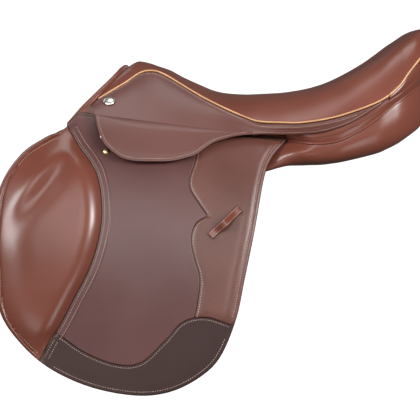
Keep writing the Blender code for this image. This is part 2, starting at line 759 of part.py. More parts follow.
def add_skirts(hinges):
    for side_name, side in SIDES:
        low, high = [], []
        for t in STATION[:FIRST_CANTLE_STATION + 1]:
            points = [skirt_point(t, v, side) for v in SKIRT_ROWS]
            high.append(points)
            row = []
            for v, point in zip(SKIRT_ROWS, points):
                normal = skirt_normal(t, v, side)
                if v == 1 and point.x <= 0:
                    stretch = math.hypot(1, TOP_SLOPE)
                    row.append(point - Vector((0, side * SKIRT_LEATHER * stretch, 0)))
                else:
                    row.append(point - normal * SKIRT_LEATHER)
            low.append(row)
        add_piece(f"skirt_top_{side_name}", *slab(low, high), "grip_leather")

        def inner(x, z):
            return SKIRT_STANDOFF - SKIRT_DROOP * min((fold_z(x) - z) / 50, 1)

        def outer(x, z):
            return inner(x, z) + SKIRT_LEATHER

        edge = smooth_curve(SKIRT_EDGE, 2)
        top = [(x, fold_z(x) - FOLD_GAP) for x in (-203, -1.5)]
        outline = [top[0], top[1]] + edge[1:]
        hinge = hinges[side]
        add_piece(f"skirt_{side_name}", *draped_sheet(outline, side, inner, outer), "grip_leather",
                  hinge.location / METRES, hinge)


# Flap and what is sewn to it

def edge_between(curve, first, last):
    """Part of a curve between the points nearest to two places."""
    def nearest(place):
        return min(range(len(curve)), key=lambda k: math.dist(curve[k], place))
    a, b = nearest(first), nearest(last)
    return curve[a:b + 1] if a <= b else curve[b:a + 1][::-1]


def flap_pieces():
    """Side-view outlines of the flap and its overlays, each a hair inside its seams."""
    flap = smooth_curve(FLAP_EDGE, 2)
    rim = shift_curve(flap, -1.0)
    half = TOUCH / 2 + 0.1
    knee = smooth_curve(KNEE_SEAM, 2)
    hem = smooth_curve(HEM_SEAM, 2)
    low = smooth_curve(GRIP_SEAM_LOW, 2)
    high = smooth_curve(GRIP_SEAM_HIGH, 2)
    knee_front, knee_back = shift_curve(knee, -half), shift_curve(knee, half)
    hem_over, hem_under = shift_curve(hem, half), shift_curve(hem, -half)
    grip_low, pad_low = shift_curve(low, half), shift_curve(low, -half)
    grip_high, pad_high = shift_curve(high, half), shift_curve(high, -half)
    roll = edge_between(rim, (-274, -238), (-240, 57)) + knee_front
    front_rim = edge_between(rim, (-229, 62), (-217, 76))
    grip = ([(-231.5, 59)] + edge_between(knee_back, (-224, 37), (-246, -194))
            + edge_between(hem_over, (-248, -201), (-82, -184)) + grip_low[1:-1] + [low[-1]]
            + grip_high[1:-1] + [(-70.3, fold_z(-70) - 5), (-217, fold_z(-217) - 5)] + front_rim[-2:0:-1])
    pad = ([(-69.4, fold_z(-69) - 5)] + pad_high[-2:0:-1] + [(low[-1][0] + 1.2, low[-1][1])]
           + pad_low[-2:0:-1] + edge_between(hem_over, (-66, -181), hem_over[-1])
           + [p for p in reversed(rim) if p[0] > -60 and hem[-1][1] + 4 < p[1] < 36] + [(34, fold_z(34) - 5)])
    hem_piece = (edge_between(hem_under, (-248, -202), hem_under[-1])
                 + [p for p in rim if p[0] > -266 and p[1] < hem[-1][1] - 4]
                 + edge_between(knee_back, (-264, -225), (-250, -200)))
    return flap, roll, grip, pad, hem_piece


def add_flaps(hinges):
    flap, roll, grip, pad, hem = flap_pieces()
    top = [(-216.6, fold_z(-216.6) - FOLD_GAP), (45.2, fold_z(45.2) - FOLD_GAP)]
    outline = [top[1]] + flap[1:-1] + [top[0]]
    grip_cuts = upright_cuts(*GRIP_CUTS)
    for side_name, side in SIDES:
        hinge = hinges[side]
        place = hinge.location / METRES

        def add(name, outline, inner, outer, finish, cuts=()):
            add_piece(f"{name}_{side_name}", *draped_sheet(outline, side, inner, outer, cuts), finish, place, hinge)

        add("flap", outline, -FLAP_LEATHER, 0.0, "dark_leather")
        add("flap_grip", grip, TOUCH, TOUCH + GRIP_LEATHER, "grip_leather")
        add("flap_hem", hem, TOUCH, TOUCH + HEM_LEATHER, "dark_leather")
        add("knee_roll", roll, TOUCH, padding(roll, TOUCH, 3.0, KNEE_ROLL_HEIGHT, KNEE_ROLL_SHOULDER),
            "smooth_leather", grip_cuts)
        add("flap_pad", pad, TOUCH, padding(pad, TOUCH, 2.5, REAR_PAD_HEIGHT, REAR_PAD_SHOULDER),
            "smooth_leather", grip_cuts)


def add_keepers(hinges):
    start, end = Vector(KEEPER_FROM), Vector(KEEPER_TO)
    along = (end - start).normalized()
    length = (end - start).length
    across = Vector((-along.y, along.x)) * KEEPER_WIDTH / 2
    corners = [start + across, start - across, end - across, end + across]
    outline = [tuple(p) for p in corners]
    cuts = []
    for k in range(1, 10):
        place = start + along * (length * k / 10)
        cuts.append(((place.x, 0, place.y), (along.x, 0, along.y)))
    seat = TOUCH + REAR_PAD_HEIGHT + TOUCH

    def inner(x, z):
        share = (Vector((x, z)) - start).dot(along) / length
        return seat + KEEPER_LIFT * math.sin(math.pi * min(max((share - 0.15) / 0.7, 0), 1)) ** 2

    for side_name, side in SIDES:
        hinge = hinges[side]
        body = draped_sheet(outline, side, inner, lambda x, z: inner(x, z) + KEEPER_LEATHER, cuts)
        add_piece(f"keeper_{side_name}", *body, "smooth_leather", hinge.location / METRES, hinge)


def add_flap_tops():
    """Fixed upper part of each flap, notched where the stirrup bar comes through."""
    notch = -BAR_BOTTOM - 4.0
    outline = [(x, fold_z(x) + up) for x, up in (
        (-212.5, FOLD_GAP), (45, FOLD_GAP), (45, 9), (0, 11), (BAR_REAR + 3, 21), (BAR_REAR + 3, notch),
        (BAR_STEM[0] - 3, notch), (BAR_STEM[0] - 3, 25), (-165, 22), (-185, 14), (-204, 7), (-208, 7))]
    for side_name, side in SIDES:
        body = draped_sheet(outline, side, -FLAP_LEATHER, 0.0)
        add_piece(f"flap_top_{side_name}", *body, "dark_leather")


# Straps, sweat flaps and panels

def add_girth_straps():
    outer = -FLAP_LEATHER - LIFT_ROOM
    for side_name, side in SIDES:
        for k in range(STRAP_COUNT):
            x = STRAP_FRONT + k * STRAP_PITCH
            half = STRAP_WIDTH / 2
            point = [(x + half, STRAP_END + 7), (x + half * 0.55, STRAP_END), (x - half * 0.55, STRAP_END),
                     (x - half, STRAP_END + 7)]
            top = [(x - half, fold_z(x) + STRAP_TOP), (x + half, fold_z(x) + STRAP_TOP)]
            pivot = drape(x, 0, outer - STRAP_LEATHER / 2, side)
            body = draped_sheet(top + point, side, outer - STRAP_LEATHER, outer)
            add_piece(f"girth_strap_{side_name}_{k + 1}", *body, "strap_leather", pivot)


def sweat_offset():
    return -(FLAP_LEATHER + LIFT_ROOM + STRAP_LEATHER + SLIDE + 0.3)


def add_sweat_flaps():
    outer = sweat_offset()
    flap = smooth_curve(FLAP_EDGE, 2)
    inset = shift_curve(flap, -12.0)
    edge = edge_between(inset, (10, 20), (-250, 40))
    outline = [(12, fold_z(12) - 14)] + edge[2:-1] + [(-222, fold_z(-222) - 22)]
    lower = [(x, z) for x, z in shift_curve(flap, -26.0) if fold_z(x) - z > 54]
    pad = [(x, z) for x, z in lower if z > -205]
    for side_name, side in SIDES:
        body = draped_sheet(outline, side, outer - SWEAT_LEATHER, outer)
        add_piece(f"sweat_flap_{side_name}", *body, "strap_leather")
        base = outer - SWEAT_LEATHER - TOUCH
        body = draped_sheet(pad, side, base - SWEAT_PAD_HEIGHT, base)
        add_piece(f"sweat_pad_{side_name}", *body, "smooth_leather")


def panel_front_section(x):
    """Section of the panel under the flap, (|y|, z), from the channel over the top and round."""
    outer = sweat_offset() - SWEAT_LEATHER - TOUCH
    deep = outer - PANEL_THICKNESS
    inner_y = float(np.interp(x, (-196, -123, -31, 50), (40, 33, 32, 34)))
    start_t = -24 if x < -110 else -10 - 14 * max(0.0, (-31 - x)) / 79
    if x < -120:
        outer -= 7.5
        deep -= 4.0
    roof = 46 if x < -120 else 33.3
    shoulder = drape(x, start_t, outer, 1)
    top_y = max(shoulder.y - 4, inner_y + 6)
    top = [(inner_y, seat_height(x, inner_y) - roof), ((inner_y + top_y) / 2, seat_height(x, (inner_y + top_y) / 2) - roof)]
    ceiling = seat_height(x, top_y) - roof
    top.append((top_y, min(shoulder.z + 3, ceiling)))
    top = [(y, min(z, shoulder.z + 5)) for y, z in top]
    # the cushion's lower edge rises behind the flap, so its depths shrink with it
    level = PANEL_LOW[1] + (x - PANEL_LOW[0]) * PANEL_LOW_SLOPE
    short = min(1.0, (fold_z(x) - level) / 48)
    out = [(p.y, p.z) for p in (shoulder, drape(x, 0, outer, 1), drape(x, 28 * short, outer, 1),
                                drape(x, 48 * short, outer, 1))]
    under = [(p.y, p.z) for p in (drape(x, 50 * short, outer - 10, 1), drape(x, 34 * short, deep, 1),
                                  drape(x, 14 * short, deep - 3, 1))]
    low = min(top[0][1] - 22, under[-1][1] + 22)
    under += [(inner_y + 12, low - 7), (inner_y + 1.5, low)]
    return top + out + under


def panel_rear_section(x):
    """Section of the panel behind the flap: a tall cushion with a gusseted side."""
    outer_y, top_z, low_z, inner_y = (float(np.interp(x, PANEL_REAR[:, 0], PANEL_REAR[:, c])) for c in (1, 2, 3, 4))
    height = top_z - low_z
    spread = outer_y - inner_y
    roof = 34.5 + 8 * min(max((x - 120) / 60, 0), 1)
    middle = inner_y + 0.55 * spread
    top = [(inner_y, seat_height(x, inner_y) - roof), (middle, seat_height(x, middle) - roof),
           (outer_y - 0.14 * spread, top_z + 2)]
    rise = 24 - 18 * min(max((x - 216) / 12, 0), 1)
    top = [(y, min(z, top_z + rise)) for y, z in top]
    out = [(outer_y - 3, top_z - 4), (outer_y, low_z + 0.66 * height), (outer_y, low_z + 0.42 * height),
           (outer_y - 0.05 * spread, low_z + 0.18 * height)]
    under = [(outer_y - 0.16 * spread, low_z + 0.04 * height), (outer_y - 0.34 * spread, low_z),
             (outer_y - 0.58 * spread, low_z + 0.05 * height), (inner_y + 0.16 * spread, low_z + 0.22 * height),
             (inner_y + 0.02 * spread, low_z + 0.45 * height)]
    return top + out + under


def panel_section(x):
    front_end, rear_start = 30.0, 90.0
    if x <= front_end:
        return panel_front_section(x)
    if x >= rear_start:
        return panel_rear_section(x)
    share = (x - front_end) / (rear_start - front_end)
    share = share * share * (3 - 2 * share)
    front, rear = panel_front_section(x), panel_rear_section(x)
    return [(a[0] + (b[0] - a[0]) * share, a[1] + (b[1] - a[1]) * share) for a, b in zip(front, rear)]


def add_panels():
    stations = list(PANEL_STATIONS) + list(PANEL_REAR[:, 0])
    for side_name, side in SIDES:
        rings = [[Vector((x, side * y, z)) for y, z in panel_section(x)] for x in stations]
        add_piece(f"panel_{side_name}", *loft(rings), "smooth_leather")


# Stirrup bars

def add_stirrup_bars():
    plate_out = -FLAP_LEATHER - TOUCH
    plate_in = plate_out - BAR_PLATE
    arm_in = plate_out + BAR_SLOT
    arm_out = arm_in + BAR_THICKNESS
    profile = ((BAR_FRONT, plate_in), (BAR_REAR, plate_in), (BAR_REAR, plate_out), (BAR_STEM[1], plate_out),
               (BAR_STEM[1], arm_in), (BAR_ARM_END, arm_in), (BAR_ARM_END, arm_out), (BAR_STEM[0], arm_out),
               (BAR_STEM[0], plate_out), (BAR_FRONT, plate_out))
    for side_name, side in SIDES:
        rings = [[drape(x, depth, offset, side) for x, offset in profile] for depth in (BAR_TOP, BAR_BOTTOM)]
        add_piece(f"stirrup_bar_{side_name}", *loft(rings), "steel")


def catch_pivot(offset, side):
    x = BAR_ARM_END + 1.6 + CATCH_WIDTH / 2
    depth = BAR_TOP + 1.0 + CATCH_WIDTH / 2
    return drape(x, depth, offset, side)


def add_bar_catches():
    plate_out = -FLAP_LEATHER - TOUCH
    start = plate_out + BAR_SLOT
    sides = 24
    for side_name, side in SIDES:
        centre = catch_pivot(start, side)
        normal = drape_normal(centre.x, fold_z(centre.x) + 20, side)
        ahead = (drape(-60, -20, 0, side) - drape(-70, -20, 0, side)).normalized()
        down = normal.cross(ahead).normalized()
        if down.z > 0:
            down = -down
        rings = []
        for height in (0.0, CATCH_THICKNESS):
            outer, inner = [], []
            for k in range(sides):
                a = 2 * math.pi * k / sides
                stretch = CATCH_LENGTH if math.cos(a) > 1e-6 else 0.0
                out = ahead * (math.sin(a) * CATCH_WIDTH / 2) + down * (math.cos(a) * CATCH_WIDTH / 2 + stretch)
                hole = ahead * math.sin(a) + down * math.cos(a)
                outer.append(centre + out + normal * height)
                inner.append(centre + hole * (PIN_RADIUS + PIN_CLEARANCE) + normal * height)
            rings.append((outer, inner))
        points = [p for outer, inner in rings for p in outer + inner]
        faces = []
        for k in range(sides):
            n = (k + 1) % sides
            bottom_outer, bottom_inner, top_outer, top_inner = (c * sides for c in range(4))
            faces.append((bottom_outer + k, bottom_outer + n, bottom_inner + n, bottom_inner + k))
            faces.append((top_outer + k, top_inner + k, top_inner + n, top_outer + n))
            faces.append((bottom_outer + k, top_outer + k, top_outer + n, bottom_outer + n))
            faces.append((bottom_inner + k, bottom_inner + n, top_inner + n, top_inner + k))
        add_piece(f"bar_catch_{side_name}", points, faces, "steel", centre)
        foot = catch_pivot(plate_out, side)
        reach = (centre - foot).dot(normal)
        profile = ((0, TOUCH), (PIN_RADIUS, TOUCH), (PIN_RADIUS, reach + CATCH_THICKNESS + TOUCH),
                   (PIN_RADIUS + 1.4, reach + CATCH_THICKNESS + TOUCH),
                   (PIN_RADIUS + 1.4, reach + CATCH_THICKNESS + TOUCH + 0.8),
                   (0, reach + CATCH_THICKNESS + TOUCH + 0.8))
        base = centre - normal * reach
        add_piece(f"catch_pin_{side_name}", *turned(base, normal, profile, 12), "steel")


# Metal trim on the outside

def dome(radius, height, base):
    """Profile of a domed head with a rounded rim."""
    rows = [(0, base), (radius, base)]
    for k in range(1, 4):
        a = math.radians(25 + 22 * k)
        rows.append((radius * math.cos(a) / math.cos(math.radians(25)), base + height * math.sin(a)))
    rows.append((0, base + height))
    return rows


def add_trim(hinges):
    for side_name, side in SIDES:
        x, v = NAIL_PLACE
        t = float(np.interp(x, SEAT[:, 0], STATION))
        place = skirt_point(t, v, side)
        add_piece(f"saddle_nail_{side_name}",
                  *turned(place, skirt_normal(t, v, side), dome(NAIL_RADIUS, NAIL_HEIGHT, TOUCH)), "steel")
        hinge = hinges[side]
        grip = TOUCH + GRIP_LEATHER
        x, z = STUD_PLACE
        place = drape(x, fold_z(x) - z, grip, side)
        add_piece(f"flap_stud_{side_name}",
                  *turned(place, drape_normal(x, z, side), dome(STUD_RADIUS, STUD_HEIGHT, TOUCH)), "brass",
                  hinge.location / METRES, hinge)

        wire = DEE_WIRE / 2
        middle = grip + 0.6 + wire
        path = []
        for k in range(16):
            a = 2 * math.pi * k / 16
            across = DEE_WIDTH / 2 * (1 if math.sin(a) > 0 else -1) * min(1, abs(math.sin(a)) * 1.25)
            drop = DEE_DROP / 2 * (1 - max(-1, min(1, 1.25 * math.cos(a))))
            path.append(drape(DEE_X + across, DEE_DEPTH + drop, middle, side))
        pivot = drape(DEE_X, DEE_DEPTH, middle, side)
        add_piece(f"dee_ring_{side_name}", *tube(path, wire, 8, True), "steel", pivot, hinge)

        low = grip + TOUCH
        high = middle + wire + 0.5
        hat = ((DEE_DEPTH - 7, low), (DEE_DEPTH - 2.6, low), (DEE_DEPTH - 2.6, high), (DEE_DEPTH + 2.6, high),
               (DEE_DEPTH + 2.6, low), (DEE_DEPTH + 7, low), (DEE_DEPTH + 7, low + STAPLE_METAL),
               (DEE_DEPTH + 4.1, low + STAPLE_METAL), (DEE_DEPTH + 4.1, high + STAPLE_METAL),
               (DEE_DEPTH - 4.1, high + STAPLE_METAL), (DEE_DEPTH - 4.1, low + STAPLE_METAL),
               (DEE_DEPTH - 7, low + STAPLE_METAL))
        rings = [[drape(DEE_X + across, d, o, side) for d, o in hat]
                 for across in (-STAPLE_WIDTH / 2, STAPLE_WIDTH / 2)]
        add_piece(f"dee_staple_{side_name}", *loft(rings), "steel", hinge.location / METRES, hinge)


def main():
    clear_scene()
    hinges = {}
    for side_name, side in SIDES:
        place = drape(FOLD_REAR[0], 0, SKIRT_STANDOFF + SKIRT_LEATHER, side)
        hinges[side] = add_empty(f"flap_hinge_{side_name}", place)
    add_tree_head()
    add_tree_rails()
    add_rail_springs()
    add_seat_web()
    add_girth_web()
    add_seat_foam()
    add_seat_cover()
    add_welts()
    add_cantle_facing()
    add_pommel_facing()
    add_channel_lining()
    add_panels()
    add_sweat_flaps()
    add_girth_straps()
    add_flap_tops()
    add_stirrup_bars()
    add_bar_catches()
    add_flaps(hinges)
    add_keepers(hinges)
    add_skirts(hinges)
    add_trim(hinges)


main()
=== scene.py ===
# Close-contact jumping saddle in brown leather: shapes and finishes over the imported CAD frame.
# Places are worked out in millimetres as on the bench and written to the meshes in metres.

import math

import bmesh
import bpy
import numpy as np
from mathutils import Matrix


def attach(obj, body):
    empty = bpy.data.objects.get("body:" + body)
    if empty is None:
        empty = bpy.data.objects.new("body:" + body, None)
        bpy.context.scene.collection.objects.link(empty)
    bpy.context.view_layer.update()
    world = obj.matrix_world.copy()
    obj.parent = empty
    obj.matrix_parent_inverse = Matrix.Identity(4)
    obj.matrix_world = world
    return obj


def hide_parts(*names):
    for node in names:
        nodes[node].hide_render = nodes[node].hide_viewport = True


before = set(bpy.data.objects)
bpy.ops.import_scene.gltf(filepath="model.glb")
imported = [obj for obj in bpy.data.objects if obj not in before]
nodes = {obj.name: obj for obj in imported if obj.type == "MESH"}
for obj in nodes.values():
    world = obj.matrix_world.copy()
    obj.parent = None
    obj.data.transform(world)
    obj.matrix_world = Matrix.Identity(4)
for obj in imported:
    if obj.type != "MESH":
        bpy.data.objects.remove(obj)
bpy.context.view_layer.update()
sides = (("left", -1), ("right", 1))
mirror = np.array([1, -1, 1])
print("frame loaded:", len(nodes), "CAD nodes")

# Edges and seams in the side view as (x, z); the fold of flap and skirt also has its |y|.
foldFront, foldRear = (-225.0, 86.0, 77.7), (45.0, 110.0, 44.0)
drapeShape = {"reach": 100.0, "decay": 135.0}
flapEdge = ((45.5, 43.0), (25, 19), (15, -8), (3, -71), (-10, -133), (-21, -183), (-41, -230), (-67, -256),
            (-105, -275), (-149, -280), (-206, -270), (-258, -247), (-296, -215), (-322, -176), (-329, -123),
            (-331, -78), (-324, -18), (-299, 23), (-268, 45), (-251, 52), (-240.5, 58.5), (-233, 68),
            (-224.5, 78))
kneeSeam = ((-240.0, 60.5), (-231, 47), (-223.5, 35), (-209, 16), (-199, -2), (-193, -30), (-193, -67),
            (-205, -114), (-228, -160), (-246, -194), (-256, -208), (-272, -237.5))
hemSeam = ((-248.5, -201.5), (-214, -225), (-175, -240), (-142, -238), (-111, -210), (-88, -186), (-59, -180),
           (-25.5, -190))
gripSeamLow = ((-74, -182), (-70, -164), (-67, -133), (-74, -106), (-78, -83), (-72, -63), (-57, -53))
gripSeamHigh = ((-57, -53), (-67, -39), (-79, -20), (-80, -5), (-73, 18), (-70, 52))
skirtEdge = ((-1.5, 49.0), (-15, 48), (-45, 41), (-59, 34), (-71, 25), (-86, 20), (-107, 16), (-143, 16),
             (-157, 17.5), (-171, 22.5), (-188, 36), (-195, 48), (-201, 64), (-203, 74.5))


# Lines
def curveBetween(a, b, c, d, u):
    # smooth way from b to c at shares u of it: the cubic that leaves b along half of c - a and reaches c
    # along half of d - b
    return 0.5 * (2 * b + (c - a) * u + (2 * a - 5 * b + 4 * c - d) * u ** 2
                  + (3 * b - a - 3 * c + d) * u ** 3)


def denseRows(rows, steps=8):
    # rows of a table with smooth ones between them, this many steps to each
    ends = np.concatenate([[2 * rows[0] - rows[1]], rows, [2 * rows[-1] - rows[-2]]])
    a, b, c, d = (ends[i:len(ends) - 3 + i][:, None] for i in range(4))
    dense = curveBetween(a, b, c, d, (np.arange(steps) / steps)[None, :, None])
    return np.concatenate([dense.reshape(-1, rows.shape[1]), rows[-1:]])


def lengths(line):
    # length run at each point of the line
    steps = np.linalg.norm(np.diff(line, axis=0), axis=1)
    return np.concatenate([[0.0], np.cumsum(steps)])


def at(line, share):
    # points of the line at these shares of its length, for shares of any array shape
    run = lengths(line)
    return np.stack([np.interp(share, run / run[-1], line[:, k]) for k in range(line.shape[1])], axis=-1)


def even(line, spacing):
    # the same line with its points at equal steps
    count = max(int(round(lengths(line)[-1] / spacing)), 2)
    return at(line, np.linspace(0, 1, count + 1))


def smoothLine(points, spacing=2.0):
    # smooth curve through the points, its own points at equal steps
    return even(denseRows(np.array(points, float), 16), spacing)


def between(line, first, last):
    # part of the line between the points nearest to two places, in that order
    a, b = (int(np.argmin(np.linalg.norm(line - np.array(place), axis=1))) for place in (first, last))
    return line[a:b + 1] if a <= b else line[b:a + 1][::-1]


def unit(vectors):
    # each vector over its own length
    return vectors / np.linalg.norm(vectors, axis=-1, keepdims=True)


def sideways(line, distance):
    # the flat line moved to the left of its own direction
    along = unit(np.gradient(line, axis=0))
    return line + distance * np.stack([-along[:, 1], along[:, 0]], axis=1)


def gap(points, line):
    # shortest distance from every flat point to the line, by its segments
    p, a, b = points.reshape(-1, 1, 2), line[None, :-1], line[None, 1:]
    step = b - a
    share = np.clip(((p - a) * step).sum(-1) / np.maximum((step ** 2).sum(-1), 1e-12), 0, 1)
    return np.linalg.norm(p - a - share[..., None] * step, axis=-1).min(1).reshape(points.shape[:-1])


def sampled(x, table, columns):
    # columns of a table, read at x from its first column
    return [np.interp(x, table[:, 0], table[:, c]) for c in columns]


# Profiles across a sheet
def rise(x):
    # smooth step from 0 to 1
    x = np.clip(x, 0, 1)
    return x * x * (3 - 2 * x)


def bell(x, width):
    # 1 in the middle, falling on both sides as exp(-(x / width) ** 2)
    return np.exp(-(x / width) ** 2)


def rounded(distance, radius):
    # quarter circle: 0 at the rim, 1 once the distance passes the radius
    return np.sqrt(np.clip(1 - (1 - np.clip(distance / radius, 0, 1)) ** 2, 0, 1))


def edgeRound(distance, radius, thick):
    # what the rounded rim takes off the outer face at this distance from it
    return -min(radius, thick * 0.6) * (1 - rounded(distance, radius))


def swellOver(distance, width):
    # quarter of a smooth mound: steepest at the rim, level once the width is passed
    return 1 - (1 - np.clip(distance / width, 0, 1)) ** 2.7


# The hanging flap as a surface over the side view
def alongFold(x, axis):
    # |y| (axis 1) or z (axis 2) of the straight fold at this x
    run, step = foldRear[0] - foldFront[0], foldRear[axis] - foldFront[axis]
    return foldFront[axis] + (x - foldFront[0]) * step / run


def foldZ(x):
    # height of the fold at this x
    return alongFold(x, 2)


def foldLine(x0, x1, depth, spacing=2.5):
    # straight flat line along the fold, this far below it
    x = np.linspace(x0, x1, max(int(abs(x1 - x0) / spacing), 2) + 1)
    return np.stack([x, foldZ(x) - depth], axis=1)


def drape(flat, offset, side):
    # Point over a side-view point (x, z). Below the fold by d it stands out by reach * (1 - exp(-d / decay));
    # offset counts outward from the leather.
    x, z = flat[..., 0], flat[..., 1]
    depth = foldZ(x) - z
    slope = drapeShape["reach"] / drapeShape["decay"]
    fall = np.exp(-np.maximum(depth, 0) / drapeShape["decay"])
    out = np.where(depth > 0, drapeShape["reach"] * (1 - fall), depth * slope)
    return np.stack([x, side * (alongFold(x, 1) + out + offset * np.hypot(1, slope * fall)), z], axis=-1)


def drapeNormal(flat, side):
    # outward direction of the flap, from a small step down and a small step back
    here = drape(flat, 0.0, side)
    down = drape(flat + np.array([0, -1.0]), 0.0, side) - here
    back = drape(flat + np.array([1.0, 0]), 0.0, side) - here
    normal = unit(np.cross(down, back))
    return normal * (np.sign(normal[..., 1:2]) * side)


def gridNormal(grid, up):
    # unit normals of a grid from its own rows and columns, turned to agree with a direction
    normal = np.cross(np.gradient(grid, axis=0), np.gradient(grid, axis=1))
    normal /= np.maximum(np.linalg.norm(normal, axis=-1, keepdims=True), 1e-9)
    return normal * np.where((normal * np.asarray(up)).sum(-1, keepdims=True) < 0, -1, 1)


# Meshes
def adopt(name, data):
    # new object of the scene that holds this mesh, lamp or camera
    made = bpy.data.objects.new(name, data)
    bpy.context.collection.objects.link(made)
    return made


def makePiece(name, form, material, body, node=None, crease=None, edge=None, edgeFaces=0):
    # Mesh object from points in millimetres and faces, riding on a body. The last edgeFaces faces, a sheet's
    # cut rim, take the edge material. node is the CAD piece it stands for.
    points, faces = form
    mesh = bpy.data.meshes.new(name)
    mesh.from_pydata((np.asarray(points, float).reshape(-1, 3) / 1000).tolist(), [], faces)
    if edge:
        rimFaces = (np.arange(len(faces)) >= len(faces) - edgeFaces).astype(np.int32)
        mesh.polygons.foreach_set("material_index", rimFaces)
    mesh.validate()
    piece = adopt(name, mesh)
    turnOutward(mesh)
    mesh.shade_smooth()
    if crease:
        mesh.set_sharp_from_angle(angle=math.radians(crease))
    mesh.materials.append(material)
    if edge:
        mesh.materials.append(edge)
    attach(piece, body)
    if node:
        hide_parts(node)


def turnOutward(mesh):
    # faces point outwards: worked out again for each loose part, then turned if the whole volume is negative
    shell = bmesh.new()
    shell.from_mesh(mesh)
    bmesh.ops.remove_doubles(shell, verts=shell.verts, dist=1e-6)
    bmesh.ops.recalc_face_normals(shell, faces=shell.faces)
    if shell.calc_volume(signed=True) < 0:
        bmesh.ops.reverse_faces(shell, faces=shell.faces)
    shell.to_mesh(mesh)
    shell.free()


def gridFaces(rows, columns, start=0, closedRows=False, closedColumns=False):
    # quads between neighbouring rows and columns of points that are numbered row by row
    i = np.arange(rows if closedRows else rows - 1)[:, None]
    j = np.arange(columns if closedColumns else columns - 1)[None, :]
    ni, nj = (i + 1) % rows, (j + 1) % columns
    quads = np.stack([i * columns + j, i * columns + nj, ni * columns + nj, ni * columns + j], axis=-1)
    return (quads.reshape(-1, 4) + start).tolist()


def fan(hub, ring, flip=False):
    # triangles from a hub to a closed ring of point numbers
    ends = (ring, np.roll(ring, -1)) if flip else (np.roll(ring, -1), ring)
    return np.stack([np.full(len(ring), hub), *ends], axis=-1).tolist()


def slabMesh(outer, inner):
    # closed body between two grids of the same shape, the rim's faces last
    rows, columns = outer.shape[:2]
    count = rows * columns
    faces = gridFaces(rows, columns) + [f[::-1] for f in gridFaces(rows, columns, count)]
    index = np.arange(count).reshape(rows, columns)
    rim = np.concatenate([index[0, :-1], index[:-1, -1], index[-1, :0:-1], index[:0:-1, 0]])
    nextOne = np.roll(rim, -1)
    faces += np.stack([rim, rim + count, nextOne + count, nextOne], axis=-1).tolist()
    return np.concatenate([outer.reshape(-1, 3), inner.reshape(-1, 3)]), faces


def rimCount(grid):
    # number of rim faces of a slab over this grid
    return 2 * (grid.shape[0] + grid.shape[1] - 2)


def coverMesh(flat, top, under, side):
    # closed sheet on the hanging flap between two offsets
    return slabMesh(drape(flat, top, side), drape(flat, under, side))


def ringMesh(rings, closed=False):
    # closed body through rings of equal count, capped at its ends by a fan to their middle
    rows, columns = rings.shape[:2]
    faces = gridFaces(rows, columns, closedRows=closed, closedColumns=True)
    points = rings.reshape(-1, 3)
    if not closed:
        ring = np.arange(columns)
        faces += fan(rows * columns, ring) + fan(rows * columns + 1, (rows - 1) * columns + ring, flip=True)
        points = np.concatenate([points, rings[0].mean(0)[None], rings[-1].mean(0)[None]])
    return points, faces


def circle(count):
    # cosine and sine once round
    turn = 2 * np.pi * np.arange(count) / count
    return np.cos(turn), np.sin(turn)


def tubeMesh(path, radius, around=12, closed=False):
    # round bar along a path: circles square to it, their frame kept upright
    along = np.gradient(path, axis=0)
    if closed:
        along = np.roll(path, -1, axis=0) - np.roll(path, 1, axis=0)
    along = unit(along)
    across = unit(np.cross(along, np.array([0.11, 0.0, 1.0])))
    up = np.cross(across, along)
    cosine, sine = circle(around)
    rings = path[:, None] + radius * (cosine[None, :, None] * across[:, None]
                                      + sine[None, :, None] * up[:, None])
    return ringMesh(rings, closed)


def roundSheet(outline, centre, outer, inner, side, rings=26):
    # Sheet as a polar grid: every point lies on a spoke from the centre to the outline. outer and inner give
    # offsets from (flat point, distance to the rim); that distance is the share left of the spoke times the
    # outline's height over the centre.
    spoke = outline - np.array(centre)
    tangent = unit(np.roll(outline, -1, axis=0) - np.roll(outline, 1, axis=0))
    height = np.abs(spoke[:, 0] * tangent[:, 1] - spoke[:, 1] * tangent[:, 0])
    close = np.array(rimSteps) / float(np.median(height))
    share = np.concatenate([1 - close, np.linspace(1 - close[-1], 0, rings)[1:-1]])[::-1]
    flat = np.array(centre) + share[:, None, None] * spoke[None]
    distance = (1 - share)[:, None] * height[None]
    top, under = (drape(flat, offset(flat, distance), side) for offset in (outer, inner))
    grid = np.concatenate([top, under[::-1]])
    hub, far = np.array(centre, float)[None], np.array([height.max()])
    hubs = [drape(hub, offset(hub, far), side) for offset in (outer, inner)]
    rows, columns = grid.shape[:2]
    ring = np.arange(columns)
    hubFaces = fan(rows * columns, ring) + fan(rows * columns + 1, (rows - 1) * columns + ring, flip=True)
    faces = gridFaces(rows, columns, closedColumns=True)
    rim = (len(top) - 1) * columns    # the rim's faces go last
    faces = faces[:rim] + faces[rim + columns:] + faces[rim:rim + columns]
    return np.concatenate([grid.reshape(-1, 3), *hubs]), hubFaces + faces


rimSteps = (0.0, 0.25, 0.6, 1.1, 1.8, 3.0)   # extra rows of points near a rim, in mm from it


